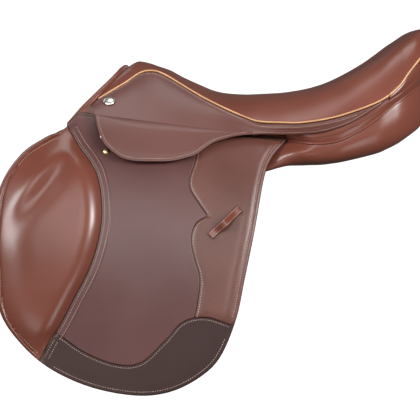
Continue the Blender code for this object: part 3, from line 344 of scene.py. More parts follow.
def patch(top, bottom, left, right, rows, columns, rim=rimSteps):
    # Patch between four flat lines: the even ways from left to right and from top to bottom added, less the
    # one between the corners. Gives its grid and its distances to the left, right, top and bottom line.
    tall = 0.5 * (lengths(left)[-1] + lengths(right)[-1])
    wide = 0.5 * (max(lengths(top)[-1], 1) + max(lengths(bottom)[-1], 1))
    wide = max(wide, float(np.linalg.norm(at(left, np.array([0.5])) - at(right, np.array([0.5])))))
    u, v = closeToRims(rows, np.array(rim) / tall), closeToRims(columns, np.array(rim) / wide)
    leftLine, rightLine, topLine, bottomLine = at(left, u), at(right, u), at(top, v), at(bottom, v)
    uu, vv = u[:, None, None], v[None, :, None]
    flat = ((1 - vv) * leftLine[:, None] + vv * rightLine[:, None]
            + (1 - uu) * topLine[None] + uu * bottomLine[None]
            - ((1 - uu) * (1 - vv) * leftLine[0] + (1 - uu) * vv * rightLine[0]
               + uu * (1 - vv) * leftLine[-1] + uu * vv * rightLine[-1]))
    width = np.linalg.norm(leftLine - rightLine, axis=1)[:, None]
    height = np.linalg.norm(topLine - bottomLine, axis=1)[None]
    u, v = u[:, None], v[None]
    return flat, np.array([v * width, (1 - v) * width, u * height, (1 - u) * height])


def closeToRims(count, steps):
    # shares from 0 to 1, with these steps near both ends
    steps = np.minimum(steps, 0.2)
    return np.concatenate([steps, np.linspace(steps[-1], 1 - steps[-1], count)[1:-1], 1 - steps[::-1]])


def joinMeshes(parts):
    # several bodies as one mesh, each one's point numbers moved on past the last
    points, faces, start = [], [], 0
    for somePoints, someFaces in parts:
        points.append(np.asarray(somePoints).reshape(-1, 3))
        faces += [[c + start for c in face] for face in someFaces]
        start += len(points[-1])
    return np.concatenate(points), faces


stitchShape = {"length": 2.0, "width": 1.05, "height": 0.75, "pitch": 3.2, "tilt": 0.18, "sides": 5}


def stitchMesh(path, normal):
    # one grain of thread, repeated at each point and turned along the path
    along = unit(np.gradient(path, axis=0))
    across = unit(np.cross(normal, along))
    ahead = along * math.cos(stitchShape["tilt"]) + across * math.sin(stitchShape["tilt"])
    beside = np.cross(normal, ahead)
    count = stitchShape["sides"]
    ends, girths = np.array([-0.5, 0.0, 0.5]), np.array([0.35, 1.0, 0.35])[:, None]
    cosine, sine = (girths * part[None] for part in circle(count))
    length, width, height = (np.repeat(ends * stitchShape["length"], count)[None, :, None],
                             (cosine.ravel() * stitchShape["width"] / 2)[None, :, None],
                             (sine.ravel() * stitchShape["height"] / 2)[None, :, None])
    points = path[:, None] + length * ahead[:, None] + width * beside[:, None] + height * normal[:, None]
    caps = [list(range(count))[::-1], list(range(2 * count, 3 * count))]
    one = gridFaces(3, count, closedColumns=True) + caps
    faces = [[c + 3 * count * k for c in face] for k in range(len(path)) for face in one]
    return points.reshape(-1, 3), faces


def sewnRow(line, offset, side):
    # stitches along a flat line on the hanging flap; offset is a height or gives it for the evened line
    line = even(line, stitchShape["pitch"])
    return stitchMesh(drape(line, offset(line) if callable(offset) else offset, side),
                      drapeNormal(line, side))


def restingOn(surface):
    # height just over a piece's own grid, from the grid point nearest to each point of a line
    cells, heights = surface[0].reshape(-1, 2), surface[1].reshape(-1)
    return lambda line: heights[np.argmin(((line[:, None] - cells[None]) ** 2).sum(-1), axis=1)] + 0.1


# Materials
def fillSockets(tree, node, sockets):
    # each input socket gets its constant, or a link from the output that feeds it
    for socket, value in sockets.items():
        if isinstance(value, bpy.types.NodeSocket):
            tree.links.new(value, node.inputs[socket])
        else:
            node.inputs[socket].default_value = value


def addNode(tree, kind, sockets, **settings):
    # shader node with its settings made and its inputs filled
    node = tree.nodes.new("ShaderNode" + kind)
    for name, value in settings.items():
        setattr(node, name, value)
    fillSockets(tree, node, sockets)
    return node


def makeMaterial(name, build, look):
    # build gives the shader's sockets from the look, with its textures on the piece's own coordinates
    material = bpy.data.materials.new(name)
    material.use_nodes = True
    tree = material.node_tree
    place = addNode(tree, "TexCoord", {}).outputs["Object"]
    fillSockets(tree, tree.nodes["Principled BSDF"], build(tree, place, look))
    return material


def twoTones(tree, factor, look, first=0.0, last=1.0):
    # the look's dark tone up to first and its light one from last, even between them
    ramp = addNode(tree, "ValToRGB", {"Fac": factor})
    low, high = ramp.color_ramp.elements
    low.position, high.position = first, last
    low.color, high.color = (*look["dark"], 1), (*look["light"], 1)
    return ramp.outputs["Color"]


def multiplied(tree, factor, colour, by):
    # colour times another one, as far as the factor says
    mix = addNode(tree, "Mix", {}, data_type="RGBA", blend_type="MULTIPLY")
    fillSockets(tree, mix, {"Factor": factor, 6: colour, 7: by})
    return mix.outputs[2]


def spread(tree, value, low, high):
    # 0 to 1 taken to this range
    return addNode(tree, "MapRange", {"Value": value, "To Min": low, "To Max": high}).outputs["Result"]


def bumped(tree, height, strength, distance):
    # normals tilted by a height, this many metres deep
    return addNode(tree, "Bump", {"Height": height, "Strength": strength,
                                  "Distance": distance}).outputs["Normal"]


def leather(tree, place, look):
    # dyed leather: two tones mixed by soft clouds, darker pores, and a grain of small cells as bump
    clouds = addNode(tree, "TexNoise", {"Vector": place, "Scale": look["cloudScale"], "Detail": 3.0,
                                        "Roughness": 0.55}).outputs["Fac"]
    cells = addNode(tree, "TexVoronoi", {"Vector": place, "Scale": look["grainScale"]},
                    feature="DISTANCE_TO_EDGE")
    fine = addNode(tree, "TexNoise", {"Vector": place, "Scale": look["grainScale"] * 0.6, "Detail": 4.0})
    pores = addNode(tree, "MapRange", {"Value": cells.outputs["Distance"], "From Max": 0.25,
                                       "To Min": 1.0 - look["poreDark"], "To Max": 1.0}).outputs["Result"]
    colour = multiplied(tree, 1.0, twoTones(tree, clouds, look, 0.32, 0.68), pores)
    if "tint" in look:   # painted shade: from one x to another the leather turns darker and redder, standing in for less light there
        axes = addNode(tree, "SeparateXYZ", {"Vector": place})
        along = addNode(tree, "MapRange", {"Value": axes.outputs["X"], "From Min": look["tintFrom"][0],
                                           "From Max": look["tintFrom"][1]}, interpolation_type="SMOOTHSTEP")
        colour = multiplied(tree, along.outputs["Result"], colour, (*look["tint"], 1))
    height = addNode(tree, "Math", {0: fine.outputs["Fac"], 1: 0.5, 2: pores}, operation="MULTIPLY_ADD")
    grain = bumped(tree, height.outputs["Value"], look["grainStrength"], look.get("grainDepth", 0.0003))
    polish = spread(tree, clouds, look["roughness"] - 0.06, look["roughness"] + 0.1)
    return {"Base Color": colour, "Roughness": polish, "Normal": grain,
            "Specular IOR Level": look.get("specular", 0.5), "Coat Weight": look.get("coat", 0.0),
            "Coat Roughness": look.get("coatRoughness", 0.3)}


def metal(tree, place, look):
    # polished metal with faint blotches in colour and shine
    noise = addNode(tree, "TexNoise", {"Vector": place, "Scale": 260.0, "Detail": 3.0}).outputs["Fac"]
    return {"Base Color": twoTones(tree, noise, look), "Metallic": 1.0,
            "Roughness": spread(tree, noise, look["roughness"] - 0.05, look["roughness"] + 0.1)}


def woven(tree, place, look):
    # tape or felt: crossed waves at thread size for colour and bump
    warp, weft = (addNode(tree, "TexWave", {"Vector": place, "Scale": look["threadScale"]},
                          bands_direction=axis) for axis in "XY")
    cross = addNode(tree, "Math", {0: warp.outputs["Fac"], 1: weft.outputs["Fac"]}, operation="MULTIPLY")
    return {"Base Color": twoTones(tree, cross.outputs["Value"], look), "Roughness": look["roughness"],
            "Normal": bumped(tree, cross.outputs["Value"], *look["bump"])}


def beechWood(tree, place, look):
    # laminated beech: long stretched noise as grain, in colour and a little bump
    stretch = addNode(tree, "Mapping", {"Vector": place, "Scale": look["stretch"]})
    noise = addNode(tree, "TexNoise", {"Vector": stretch.outputs["Vector"], "Scale": 1.0, "Detail": 4.0})
    grain = noise.outputs["Fac"]
    return {"Base Color": twoTones(tree, grain, look), "Roughness": look["roughness"],
            "Normal": bumped(tree, grain, *look["bump"])}


calf = makeMaterial("calfLeather", leather, {
    "dark": (0.112, 0.031, 0.019), "light": (0.156, 0.045, 0.029), "cloudScale": 6.0, "grainScale": 900.0,
    "poreDark": 0.10, "roughness": 0.29, "grainStrength": 0.14, "specular": 0.4, "coat": 0.08,
    "coatRoughness": 0.2})
gripLeather = makeMaterial("gripLeather", leather, {
    "dark": (0.066, 0.023, 0.021), "light": (0.091, 0.033, 0.030), "cloudScale": 7.0, "grainScale": 1100.0,
    "poreDark": 0.14, "roughness": 0.35, "grainStrength": 0.2})
padLeather = makeMaterial("pebbledLeather", leather, {
    "dark": (0.088, 0.029, 0.020), "light": (0.118, 0.041, 0.029), "cloudScale": 8.0, "grainScale": 600.0,
    "poreDark": 0.24, "roughness": 0.37, "grainStrength": 0.55, "grainDepth": 0.0004})
hemLeather = makeMaterial("hemLeather", leather, {
    "dark": (0.024, 0.009, 0.008), "light": (0.034, 0.014, 0.012), "cloudScale": 9.0, "grainScale": 1100.0,
    "poreDark": 0.14, "roughness": 0.42, "grainStrength": 0.25, "specular": 0.36})
# the skirt's leather darkens and reddens towards the rear: painted shade for the rear's lower light, not a
# change of dye
skirtLeather = makeMaterial("skirtLeather", leather, {
    "dark": (0.092, 0.033, 0.027), "light": (0.122, 0.046, 0.038), "cloudScale": 6.0, "grainScale": 950.0,
    "poreDark": 0.12, "roughness": 0.41, "grainStrength": 0.2, "specular": 0.46, "tint": (0.8, 0.58, 0.46),
    "tintFrom": (-0.075, 0.045)})
strapLeather = makeMaterial("strapLeather", leather, {
    "dark": (0.060, 0.022, 0.015), "light": (0.095, 0.038, 0.026), "cloudScale": 12.0, "grainScale": 800.0,
    "poreDark": 0.18, "roughness": 0.46, "grainStrength": 0.3})
# dark edge dye for cut rims and dark thread; the same colour paints the shade inside the straps' punched
# holes
dyedEdgeAndHoleShade = makeMaterial("dyedEdgeAndHoleShade", leather, {
    "dark": (0.012, 0.006, 0.005), "light": (0.022, 0.011, 0.008), "cloudScale": 30.0, "grainScale": 700.0,
    "poreDark": 0.1, "roughness": 0.4, "grainStrength": 0.2})
tanPiping = makeMaterial("tanPiping", leather, {
    "dark": (0.42, 0.21, 0.09), "light": (0.58, 0.31, 0.15), "cloudScale": 40.0, "grainScale": 1200.0,
    "poreDark": 0.1, "roughness": 0.42, "grainStrength": 0.2})
thread = makeMaterial("waxedThread", leather, {
    "dark": (0.34, 0.24, 0.19), "light": (0.50, 0.38, 0.31), "cloudScale": 60.0, "grainScale": 2600.0,
    "poreDark": 0.2, "roughness": 0.7, "grainStrength": 0.4})
steel = makeMaterial("polishedSteel", metal, {
    "dark": (0.58, 0.56, 0.51), "light": (0.68, 0.66, 0.61), "roughness": 0.3})
brass = makeMaterial("polishedBrass", metal, {
    "dark": (0.60, 0.44, 0.20), "light": (0.74, 0.57, 0.30), "roughness": 0.28})
tape = makeMaterial("cottonTape", woven, {
    "dark": (0.45, 0.42, 0.36), "light": (0.72, 0.69, 0.62), "roughness": 0.85, "threadScale": 220.0,
    "bump": (0.6, 0.0004)})
felt = makeMaterial("foamPadding", woven, {
    "dark": (0.62, 0.56, 0.40), "light": (0.78, 0.73, 0.56), "roughness": 0.95, "threadScale": 90.0,
    "bump": (0.6, 0.0004)})
beech = makeMaterial("beechPlies", beechWood, {
    "dark": (0.34, 0.20, 0.10), "light": (0.55, 0.37, 0.21), "roughness": 0.55, "stretch": (12, 160, 160),
    "bump": (0.2, 0.0003)})
print("materials made")

# Camera
view = {"aim": (-0.054, 0.0, -0.0567), "distance": 2.8, "elevation": 4.0, "lens": 177.8, "clipEnd": 30}
camera = adopt("camera", bpy.data.cameras.new("camera"))
tilt = math.radians(view["elevation"])
camera.location = (view["aim"][0], view["aim"][1] - view["distance"] * math.cos(tilt),
                   view["aim"][2] + view["distance"] * math.sin(tilt))
camera.rotation_euler = (math.pi / 2 - tilt, 0, 0)
camera.data.lens, camera.data.clip_end = view["lens"], view["clipEnd"]
bpy.context.scene.camera = camera

# White paper all round the piece, as the inside of a large ball, so that it is white from every side.
paperLook = {"radius": 9.0, "rows": 24, "around": 48}
up = np.linspace(-np.pi / 2, np.pi / 2, paperLook["rows"] + 1)[1:-1, None]
cosine, sine = circle(paperLook["around"])
ball = np.stack([np.cos(up) * cosine[None], np.cos(up) * sine[None], np.sin(up) + 0 * sine[None]], axis=-1)
ballPoints, ballFaces = ringMesh(paperLook["radius"] * ball)
sweepMesh = bpy.data.meshes.new("paperSweep")
sweepMesh.from_pydata(ballPoints.tolist(), [], ballFaces)
sweepMesh.shade_smooth()
paperSweep = adopt("paperSweep", sweepMesh)
sweepMesh.materials.append(makeMaterial("whitePaper", lambda tree, place, look: look, {
    "Base Color": (0.95, 0.95, 0.95, 1), "Roughness": 0.9, "Specular IOR Level": 0.1,
    "Emission Color": (1, 1, 1, 1), "Emission Strength": 1.0}))
paperSweep.visible_glossy = paperSweep.visible_diffuse = False   # only the camera sees it: no veil on leather

# Soft boxes: azimuth, elevation, distance, size, watts
lamps = {"keyLeft": (-48, 22, 2.6, 0.9, 46.0), "keyRight": (44, 20, 2.6, 0.62, 70.0),
         "front": (-6, 24, 2.8, 1.0, 18.0), "lowRight": (24, -22, 1.6, 0.5, 4.0),
         "lowLeft": (-26, -14, 2.6, 0.9, 7.0), "overhead": (-20, 84, 2.3, 1.1, 16.0),
         "rearLeft": (-135, 28, 2.8, 1.8, 15.0), "rearRight": (135, 28, 2.8, 1.8, 16.0)}
for lampName, (azimuth, elevation, far, size, power) in lamps.items():
    light = bpy.data.lights.new(lampName, "AREA")
    light.shape, light.size, light.energy = "SQUARE", size, power
    lamp = adopt(lampName, light)
    turn, lift = math.radians(azimuth), math.radians(elevation)
    away = np.array([math.sin(turn) * math.cos(lift), -math.cos(turn) * math.cos(lift), math.sin(lift)])
    lamp.location = np.array(view["aim"]) + far * away
    lamp.rotation_euler = (math.pi / 2 - lift, 0, turn)
world = bpy.data.worlds.new("studioAir")
bpy.context.scene.world = world
world.use_nodes = True
fillSockets(world.node_tree, world.node_tree.nodes["Background"], {"Color": (1, 1, 1, 1), "Strength": 0.1})
bpy.context.scene.view_settings.view_transform = "Standard"
print("camera and studio ready")

# The seat's rows: welt x, |y|, z; centre x, z; how square the section is; lift of the side rolls
seatRows = np.array(((-204, 70, 92, -161, 138, 1.7, 0), (-185, 62, 104, -155, 141.5, 1.8, 0),
                     (-165, 54, 116, -149, 143.5, 2.0, 0), (-149, 46, 127, -141, 142.5, 2.2, 0),
                     (-137, 46, 131, -133, 140.5, 2.2, 0), (-123, 50, 130, -123, 137, 2.3, 0),
                     (-106, 58, 122, -106, 131, 2.5, 0), (-89.5, 68, 112, -89.5, 122, 2.6, 0),
                     (-64, 82, 97, -64, 110.5, 2.8, 0), (-48, 92, 89, -48, 104, 3.0, 0),
                     (-31, 102, 81, -31, 100.5, 3.0, 0), (-7, 113, 71, -7, 99, 3.0, 0),
                     (10, 120, 66, 10, 99.5, 3.0, 0), (41, 131, 65, 41, 101, 3.3, 0.5),
                     (60, 136, 65, 60, 103, 3.6, 1.5), (84, 140, 68, 84, 106, 4.0, 4),
                     (108, 142, 73, 108, 111, 4.5, 7), (132, 142, 80.5, 132, 118.5, 5.0, 11),
                     (157, 140, 90, 155, 129, 5.5, 14), (175, 136, 100, 172, 139, 6.0, 16),
                     (190, 130, 113, 186, 149, 6.0, 17), (201, 124, 128, 197, 158, 6.0, 15),
                     (217, 112, 147, 210, 171, 5.0, 12), (230, 92, 160, 222, 182, 4.0, 6),
                     (239, 62, 168, 233, 187.5, 3.0, 1), (244, 34, 172, 240, 184, 2.4, 0),
                     (246, 10, 173, 244.5, 180.5, 2.0, 0)))
cantleStart, lastRow = 19, len(seatRows) - 1
rowShare = np.arange(lastRow * 8 + 1) / 8
seatDense = denseRows(seatRows)


def seatAt(t, s, drop=0.0):
    # Seat leather at row t and share s across, -1 at the left welt and 1 at the right. x goes from the centre
    # to the welt with |s| ** 1.6, y is the share of the welt's, and z falls from the centre by |s| ** power,
    # with a side roll of 6.75 s^2 (1 - s) times its lift.
    t, s = np.broadcast_arrays(np.asarray(t, float), np.asarray(s, float))
    weltX, weltY, weltZ, middleX, middleZ, power, lift = (np.interp(t, rowShare, seatDense[:, c])
                                                          for c in range(7))
    a = np.abs(s)
    roll = lift * 6.75 * a * a * (1 - a)
    return np.stack([middleX + (weltX - middleX) * a ** 1.6, weltY * s,
                     weltZ + (middleZ - weltZ) * (1 - a ** power) + roll - drop], axis=-1)


# Seat cover; behind its last row it turns down to the cantle welt in a quarter of an ellipse.
seatLook = {"leather": 3.0, "clear": 1.8, "slopeOver": 0.03, "columns": 41, "tuckX": 246.4, "tuckZ": 174.4,
            "tuckRows": 6}
tSeat = np.linspace(0, lastRow, lastRow * 5 + 1)[:, None]
besideWelt = seatAt(tSeat[:, 0], 1.0) - seatAt(tSeat[:, 0], 1 - seatLook["slopeOver"])
slopeAtWelt = np.linalg.norm(besideWelt, axis=1)[:, None] / seatLook["slopeOver"]
sColumn = np.sin(np.linspace(-1, 1, seatLook["columns"]) * np.pi / 2)[None]
sColumn = sColumn * (1 - seatLook["clear"] / slopeAtWelt)
seatTop = seatAt(tSeat, sColumn)
turnDown = np.linspace(0, np.pi / 2, seatLook["tuckRows"] + 1)[1:, None]
lastX, lastY, lastZ = seatTop[-1].T
tuck = np.stack([lastX + (seatLook["tuckX"] - lastX) * np.sin(turnDown), lastY + 0 * turnDown,
                 lastZ - np.maximum(lastZ - seatLook["tuckZ"], 0) * (1 - np.cos(turnDown))], axis=-1)
seatTop = np.concatenate([seatTop, tuck])
seatUnder = seatTop - seatLook["leather"] * gridNormal(seatTop, (0.3, 0, 1))
makePiece("seatCover", slabMesh(seatTop, seatUnder), calf, "tree", "seat_cover")

foamLook = {"rows": (1, 22), "share": 0.84, "below": 3.6, "underside": 15.6}
foamRows = np.linspace(*foamLook["rows"], 64)[:, None]
foamShare = np.linspace(-foamLook["share"], foamLook["share"], 25)[None]
foamTop = seatAt(foamRows, foamShare)
foamTop = foamTop - foamLook["below"] * gridNormal(foamTop, (0, 0, 1))
makePiece("seatFoam", slabMesh(foamTop, seatAt(foamRows, foamShare, foamLook["underside"])), felt,
          "tree", "seat_foam")
print("seat made")

# Tan welts along the seat's sides and round the cantle
weltLook = {"radius": 1.2, "sides": 14, "rearEnd": 18.97}
nearWelt = seatAt(np.linspace(cantleStart, lastRow, 200), -1.0)
weltPaths = [(f"seatWelt.{sideName}", f"seat_welt_{sideName}",
              seatAt(np.linspace(0.2, weltLook["rearEnd"], 400), side * 1.0)) for sideName, side in sides]
weltPaths.append(("cantleWelt", "cantle_welt", np.concatenate([nearWelt, nearWelt[::-1] * mirror])))
for name, node, path in weltPaths:
    tube = tubeMesh(even(path, 2.5), weltLook["radius"], weltLook["sides"])
    makePiece(name, tube, tanPiping, "tree", node)

# Cantle facing: a strip that hangs from the cantle welt to the panel; its drop is given for each seat row.
facingLook = {"leather": 3.0, "drop": (5, 9, 15, 22, 27, 36, 42, 44), "fullness": 1.2, "below": 1.9,
              "inward": 2.5}
facingT = np.linspace(cantleStart, lastRow, 85)
facingWelt = seatAt(facingT, -1.0)
facingAlong = unit(np.gradient(facingWelt, axis=0))
inward = unit(np.stack([-facingWelt[:, 0] * 0.25, -facingWelt[:, 1], 0 * facingT], axis=1))[:, None]
below = unit(np.array([0, 0, -1.0]) + facingAlong * facingAlong[:, 2:3])
facingDrop = np.interp(facingT, np.arange(cantleStart, lastRow + 1), facingLook["drop"])
v = np.linspace(0, 1, 15)[None, :, None]
facingTop = ((facingWelt + below * facingLook["below"])[:, None]
             + inward * (facingLook["inward"] * v - facingLook["fullness"] * np.sin(np.pi * v))
             - np.array([0, 0, 1.0]) * v * facingDrop[:, None, None])
facingTop[0] += facingAlong[0] * 0.4   # clear of the seat welt's end
facingLow = facingTop[:, -1]
facingIn = facingTop + inward * facingLook["leather"]
wholeTop, wholeIn = (np.concatenate([half, half[::-1] * mirror]) for half in (facingTop, facingIn))
makePiece("cantleFacing", slabMesh(wholeTop, wholeIn), calf, "tree", "cantle_facing",
          crease=50)

# Rear lining: closes the channel from the end of the roof's leather up to the facing's lower edge.
rearLook = {"down": (0.72, 0, -2.4), "x": (170, 190, 208, 224, 236, 242.5),
            "z": (96, 100, 106, 114, 123, 131.5), "halfX": (170, 216, 232, 242.5), "half": (40, 42, 56, 62),
            "sag": 3.0, "hollow": 6.0}
rearX = np.linspace(rearLook["x"][0], rearLook["x"][-1], 40)[:, None]
rearShare = np.linspace(-1, 1, 25)[None]
rearBack = (rearX - rearX[0]) / (rearX[-1] - rearX[0])
rearTop = np.stack([rearX - rearLook["hollow"] * rearShare ** 2 * rearBack,
                    np.interp(rearX, rearLook["halfX"], rearLook["half"]) * rearShare,
                    np.interp(rearX, rearLook["x"], rearLook["z"]) - rearLook["sag"] * rearShare ** 2],
                   axis=-1)
makePiece("rearLining", slabMesh(rearTop, rearTop + np.array(rearLook["down"])), strapLeather,
          "tree", crease=50)

# Front roll: padded edge from flap to flap over the arch, a little fuller and then closed at its ends.
rollLook = {"radius": 4.5, "sides": 18, "endFullness": 1.8, "fullFrom": -200, "fullOver": 22, "taper": 5}
pommelHalf = np.array(((-167, 0, 134.5), (-171, 15.5, 131.5), (-177, 29, 124.5), (-187, 43, 114),
                       (-199, 58, 102), (-210, 67, 90), (-221, 75.5, 77), (-231, 84, 65), (-239, 88, 56.5)),
                      float)
pommelLine = smoothLine(np.concatenate([pommelHalf[:0:-1] * mirror, pommelHalf]), 2.5)
endTaper = rise(np.minimum(lengths(pommelLine), lengths(pommelLine)[::-1]) / rollLook["taper"])
endFull = rise((rollLook["fullFrom"] - pommelLine[:, 0]) / rollLook["fullOver"])
rollRadius = (rollLook["radius"] + rollLook["endFullness"] * endFull) * (0.4 + 0.6 * endTaper)
makePiece("pommelFacing", tubeMesh(pommelLine, rollRadius[:, None, None], rollLook["sides"]), calf,
          "tree", "pommel_facing")
print("welts and facings made")

# Panels: wool-stuffed cushions under the tree. Rows of the rear half: x, outer |y|, top z, low z, inner |y|
panelRear = np.array(((90, 131, 53, 8.6, 35), (113, 135, 56, 12.0, 35), (139, 135.5, 70, 18, 35),
                      (165, 133, 86, 24.4, 35), (190, 125, 102, 36, 36), (203, 116, 111, 45, 36),
                      (216, 103, 119, 54, 37), (228, 84, 125, 66, 38), (238, 64, 122, 84, 39),
                      (243, 52, 118, 103, 40)), float)
sweatOffset = -12.8   # outer face of the sweat flap, from the flap's leather
panelLook = {"stations": 110, "around": 72, "wave": 0.35, "waveLength": 17.0, "piping": 1.7, "pipingOut": 0.6,
             "pipingX": (50, 96, 144, 181, 216), "pipingAt": (4.0, 4.0, 3.75, 3.35, 3.3),
             "ends": ((0.55, 0.0), (0.86, 0.6), (0.96, 1.5)),   # size of the end rings and their step inward
             "changeFrom": (30, 30, 30, 30, 20, 6, 6, 6, 6, 30, 30, 30),
             "changeOver": (60,) * 4 + (65,) + (60,) * 7}
# Sections in mm: in front under the flap and behind it. A pair in front is a size and what it gains before
# changeAt; roof and cap behind are sizes with what they change by past their own x.
frontSection = {"outer": (3.4, 7.5), "deep": (23.4, 4.0), "roof": (33.3, 12.7), "changeAt": -95,
                "changeOver": 28, "channelX": (-196, -123, -31, 50), "channel": (40, 33, 32, 34),
                "shoulderX": (-110, -31), "shoulder": (-24, -10), "capAbove": 5, "topInside": 4,
                "topWidth": 6, "topAbove": 3, "sideDepths": (28, 48), "underDepths": (50, 34, 14),
                "turnIn": 10, "deeper": 3, "lowX": 18, "lowZ": 2.8, "lowSlope": 0.07, "channelTall": 22,
                "foot": (12, 7), "wall": 1.5}
rearSection = {"roof": (34.5, 8), "roofAt": 120, "roofOver": 60, "cap": (24, 18), "capAt": 216,
               "capOver": 12, "roofMiddle": 0.55, "corner": (0.14, 2), "shoulder": (3, 4),
               "side": ((0, 0.66), (0, 0.42), (0.05, 0.18), (0.16, 0.04), (0.34, 0), (0.58, 0.05)),
               "channel": ((0.16, 0.22), (0.02, 0.45))}


def seatHeight(x, y):
    # height of the seat's leather over a point of the plan; eight rounds settle its row and share
    share = np.full(x.shape, 0.5)
    for _ in range(8):
        grid = seatAt(rowShare[:, None], share[None])[..., 0]
        t = np.array([np.interp(px, column, rowShare)
                      for px, column in zip(x, np.maximum.accumulate(grid, axis=0).T)])
        share = np.minimum(np.abs(y) / np.interp(t, rowShare, seatDense[:, 1]), 1.0)
    return seatAt(t, share)[:, 2]


def hang(x, depth, offset):
    # |y| and z of the flap's surface at a depth below the fold
    return drape(np.stack([x, foldZ(x) - depth], axis=-1), offset, 1)[..., 1:]


def panelFront(x):
    # twelve section points under the flap: the roof, the side beside the sweat flap, the underside
    form = frontSection
    forward = np.clip((form["changeAt"] - x) / form["changeOver"], 0, 1)
    outer, deep = (sweatOffset - size - more * forward for size, more in (form["outer"], form["deep"]))
    innerY = np.interp(x, form["channelX"], form["channel"])
    roof = form["roof"][0] + form["roof"][1] * forward
    shoulder = hang(x, np.interp(x, form["shoulderX"], form["shoulder"]), outer)
    topY = np.maximum(shoulder[:, 0] - form["topInside"], innerY + form["topWidth"])
    middleY = (innerY + topY) / 2
    cap = shoulder[:, 1] + form["capAbove"]
    top = [(y, np.minimum(seatHeight(x, y) - roof, cap)) for y in (innerY, middleY)]
    top.append((topY, np.minimum(shoulder[:, 1] + form["topAbove"], seatHeight(x, topY) - roof)))
    # behind the flap the lower edge rises, and the side and underside shorten with it
    tall = foldZ(x) - form["lowZ"] - form["lowSlope"] * (x - form["lowX"])
    short = np.minimum(1, tall / form["sideDepths"][1])
    out = [shoulder, hang(x, 0, outer)] + [hang(x, depth * short, outer) for depth in form["sideDepths"]]
    under = [hang(x, depth * short, offset) for depth, offset in zip(
        form["underDepths"], (outer - form["turnIn"], deep, deep - form["deeper"]))]
    low = np.minimum(top[0][1] - form["channelTall"], under[2][:, 1] + form["channelTall"])
    ring = [np.stack(p, axis=-1) for p in top] + out + under
    ring += [np.stack((innerY + form["foot"][0], low - form["foot"][1]), axis=-1),
             np.stack((innerY + form["wall"], low), axis=-1)]
    return np.stack(ring, axis=1)


def panelBack(x):
    # twelve section points behind the flap; side and channel are shares of the section's width and height
    form = rearSection
    outerY, topZ, lowZ, innerY = sampled(x, panelRear, (1, 2, 3, 4))
    tall, spread = topZ - lowZ, outerY - innerY
    (roof, more), (over, less) = form["roof"], form["cap"]
    roof = roof + more * np.clip((x - form["roofAt"]) / form["roofOver"], 0, 1)
    cap = topZ + over - less * np.clip((x - form["capAt"]) / form["capOver"], 0, 1)
    middleY = innerY + form["roofMiddle"] * spread
    places = [(y, np.minimum(seatHeight(x, y) - roof, cap)) for y in (innerY, middleY)]
    places.append((outerY - form["corner"][0] * spread, topZ + form["corner"][1]))
    places.append((outerY - form["shoulder"][0], topZ - form["shoulder"][1]))
    places += [(outerY - out * spread, lowZ + up * tall) for out, up in form["side"]]
    places += [(innerY + across * spread, lowZ + up * tall) for across, up in form["channel"]]
    return np.stack([np.stack(p, axis=-1) for p in places], axis=1)


panelX = np.concatenate([np.linspace(-196, 216, panelLook["stations"]), np.linspace(219, 243, 13)])
change = (panelX[:, None] - panelLook["changeFrom"]) / np.array(panelLook["changeOver"])
share = rise(change)[..., None]   # even change from the front form to the rear one
controls = (1 - share) * panelFront(panelX) + share * panelBack(panelX)
u = np.arange(panelLook["around"]) / 6
k = np.floor(u).astype(int)
section = curveBetween(*(controls[:, (k + step) % 12] for step in (-1, 0, 1, 2)), (u - k)[None, :, None])
for _ in range(2):
    blurred = section.copy()
    blurred[1:-1] = (section[:-2] + 2 * section[1:-1] + section[2:]) / 4
    section = blurred


def panelLine(side, out):
    # line of the piping along the panel's side, set out by some mm
    u = np.interp(panelX, panelLook["pipingX"], panelLook["pipingAt"]) * 6
    k = np.floor(u).astype(int)
    rows = np.arange(len(panelX))
    point = section[rows, k] * (1 - (u - k))[:, None] + section[rows, k + 1] * (u - k)[:, None]
    return np.stack([panelX, side * (point[:, 0] + out), point[:, 1]], axis=1)


def endRings(ring, inward):
    # the rings of a rounded end, smallest first
    middle = ring.mean(0)
    return np.stack([middle + (ring - middle) * size + np.array([inward * step, 0, 0])
                     for size, step in panelLook["ends"]])


for sideName, side in sides:
    rings = np.stack([panelX[:, None] + 0 * section[..., 0], side * section[..., 0], section[..., 1]],
                     axis=-1)
    rings[..., 2] += (panelLook["wave"] * np.sin(rings[..., 0] / panelLook["waveLength"])
                      * np.sin(np.arange(panelLook["around"]) / panelLook["around"] * 6 * np.pi)[None])
    cushion = np.concatenate([endRings(rings[0], 1), rings[1:-1], endRings(rings[-1], -1)[::-1]])
    cushion[2, :, 0] = np.minimum(cushion[2, :, 0], cushion[3, :, 0] - 0.5)
    pipePath = panelLine(side, panelLook["pipingOut"])[(panelX > 20) & (panelX < 238)]
    piping = tubeMesh(even(pipePath, 2.5), panelLook["piping"], 10)
    makePiece(f"panel.{sideName}", joinMeshes([ringMesh(cushion), piping]), calf, "tree",
              f"panel_{sideName}")
print("panels made")

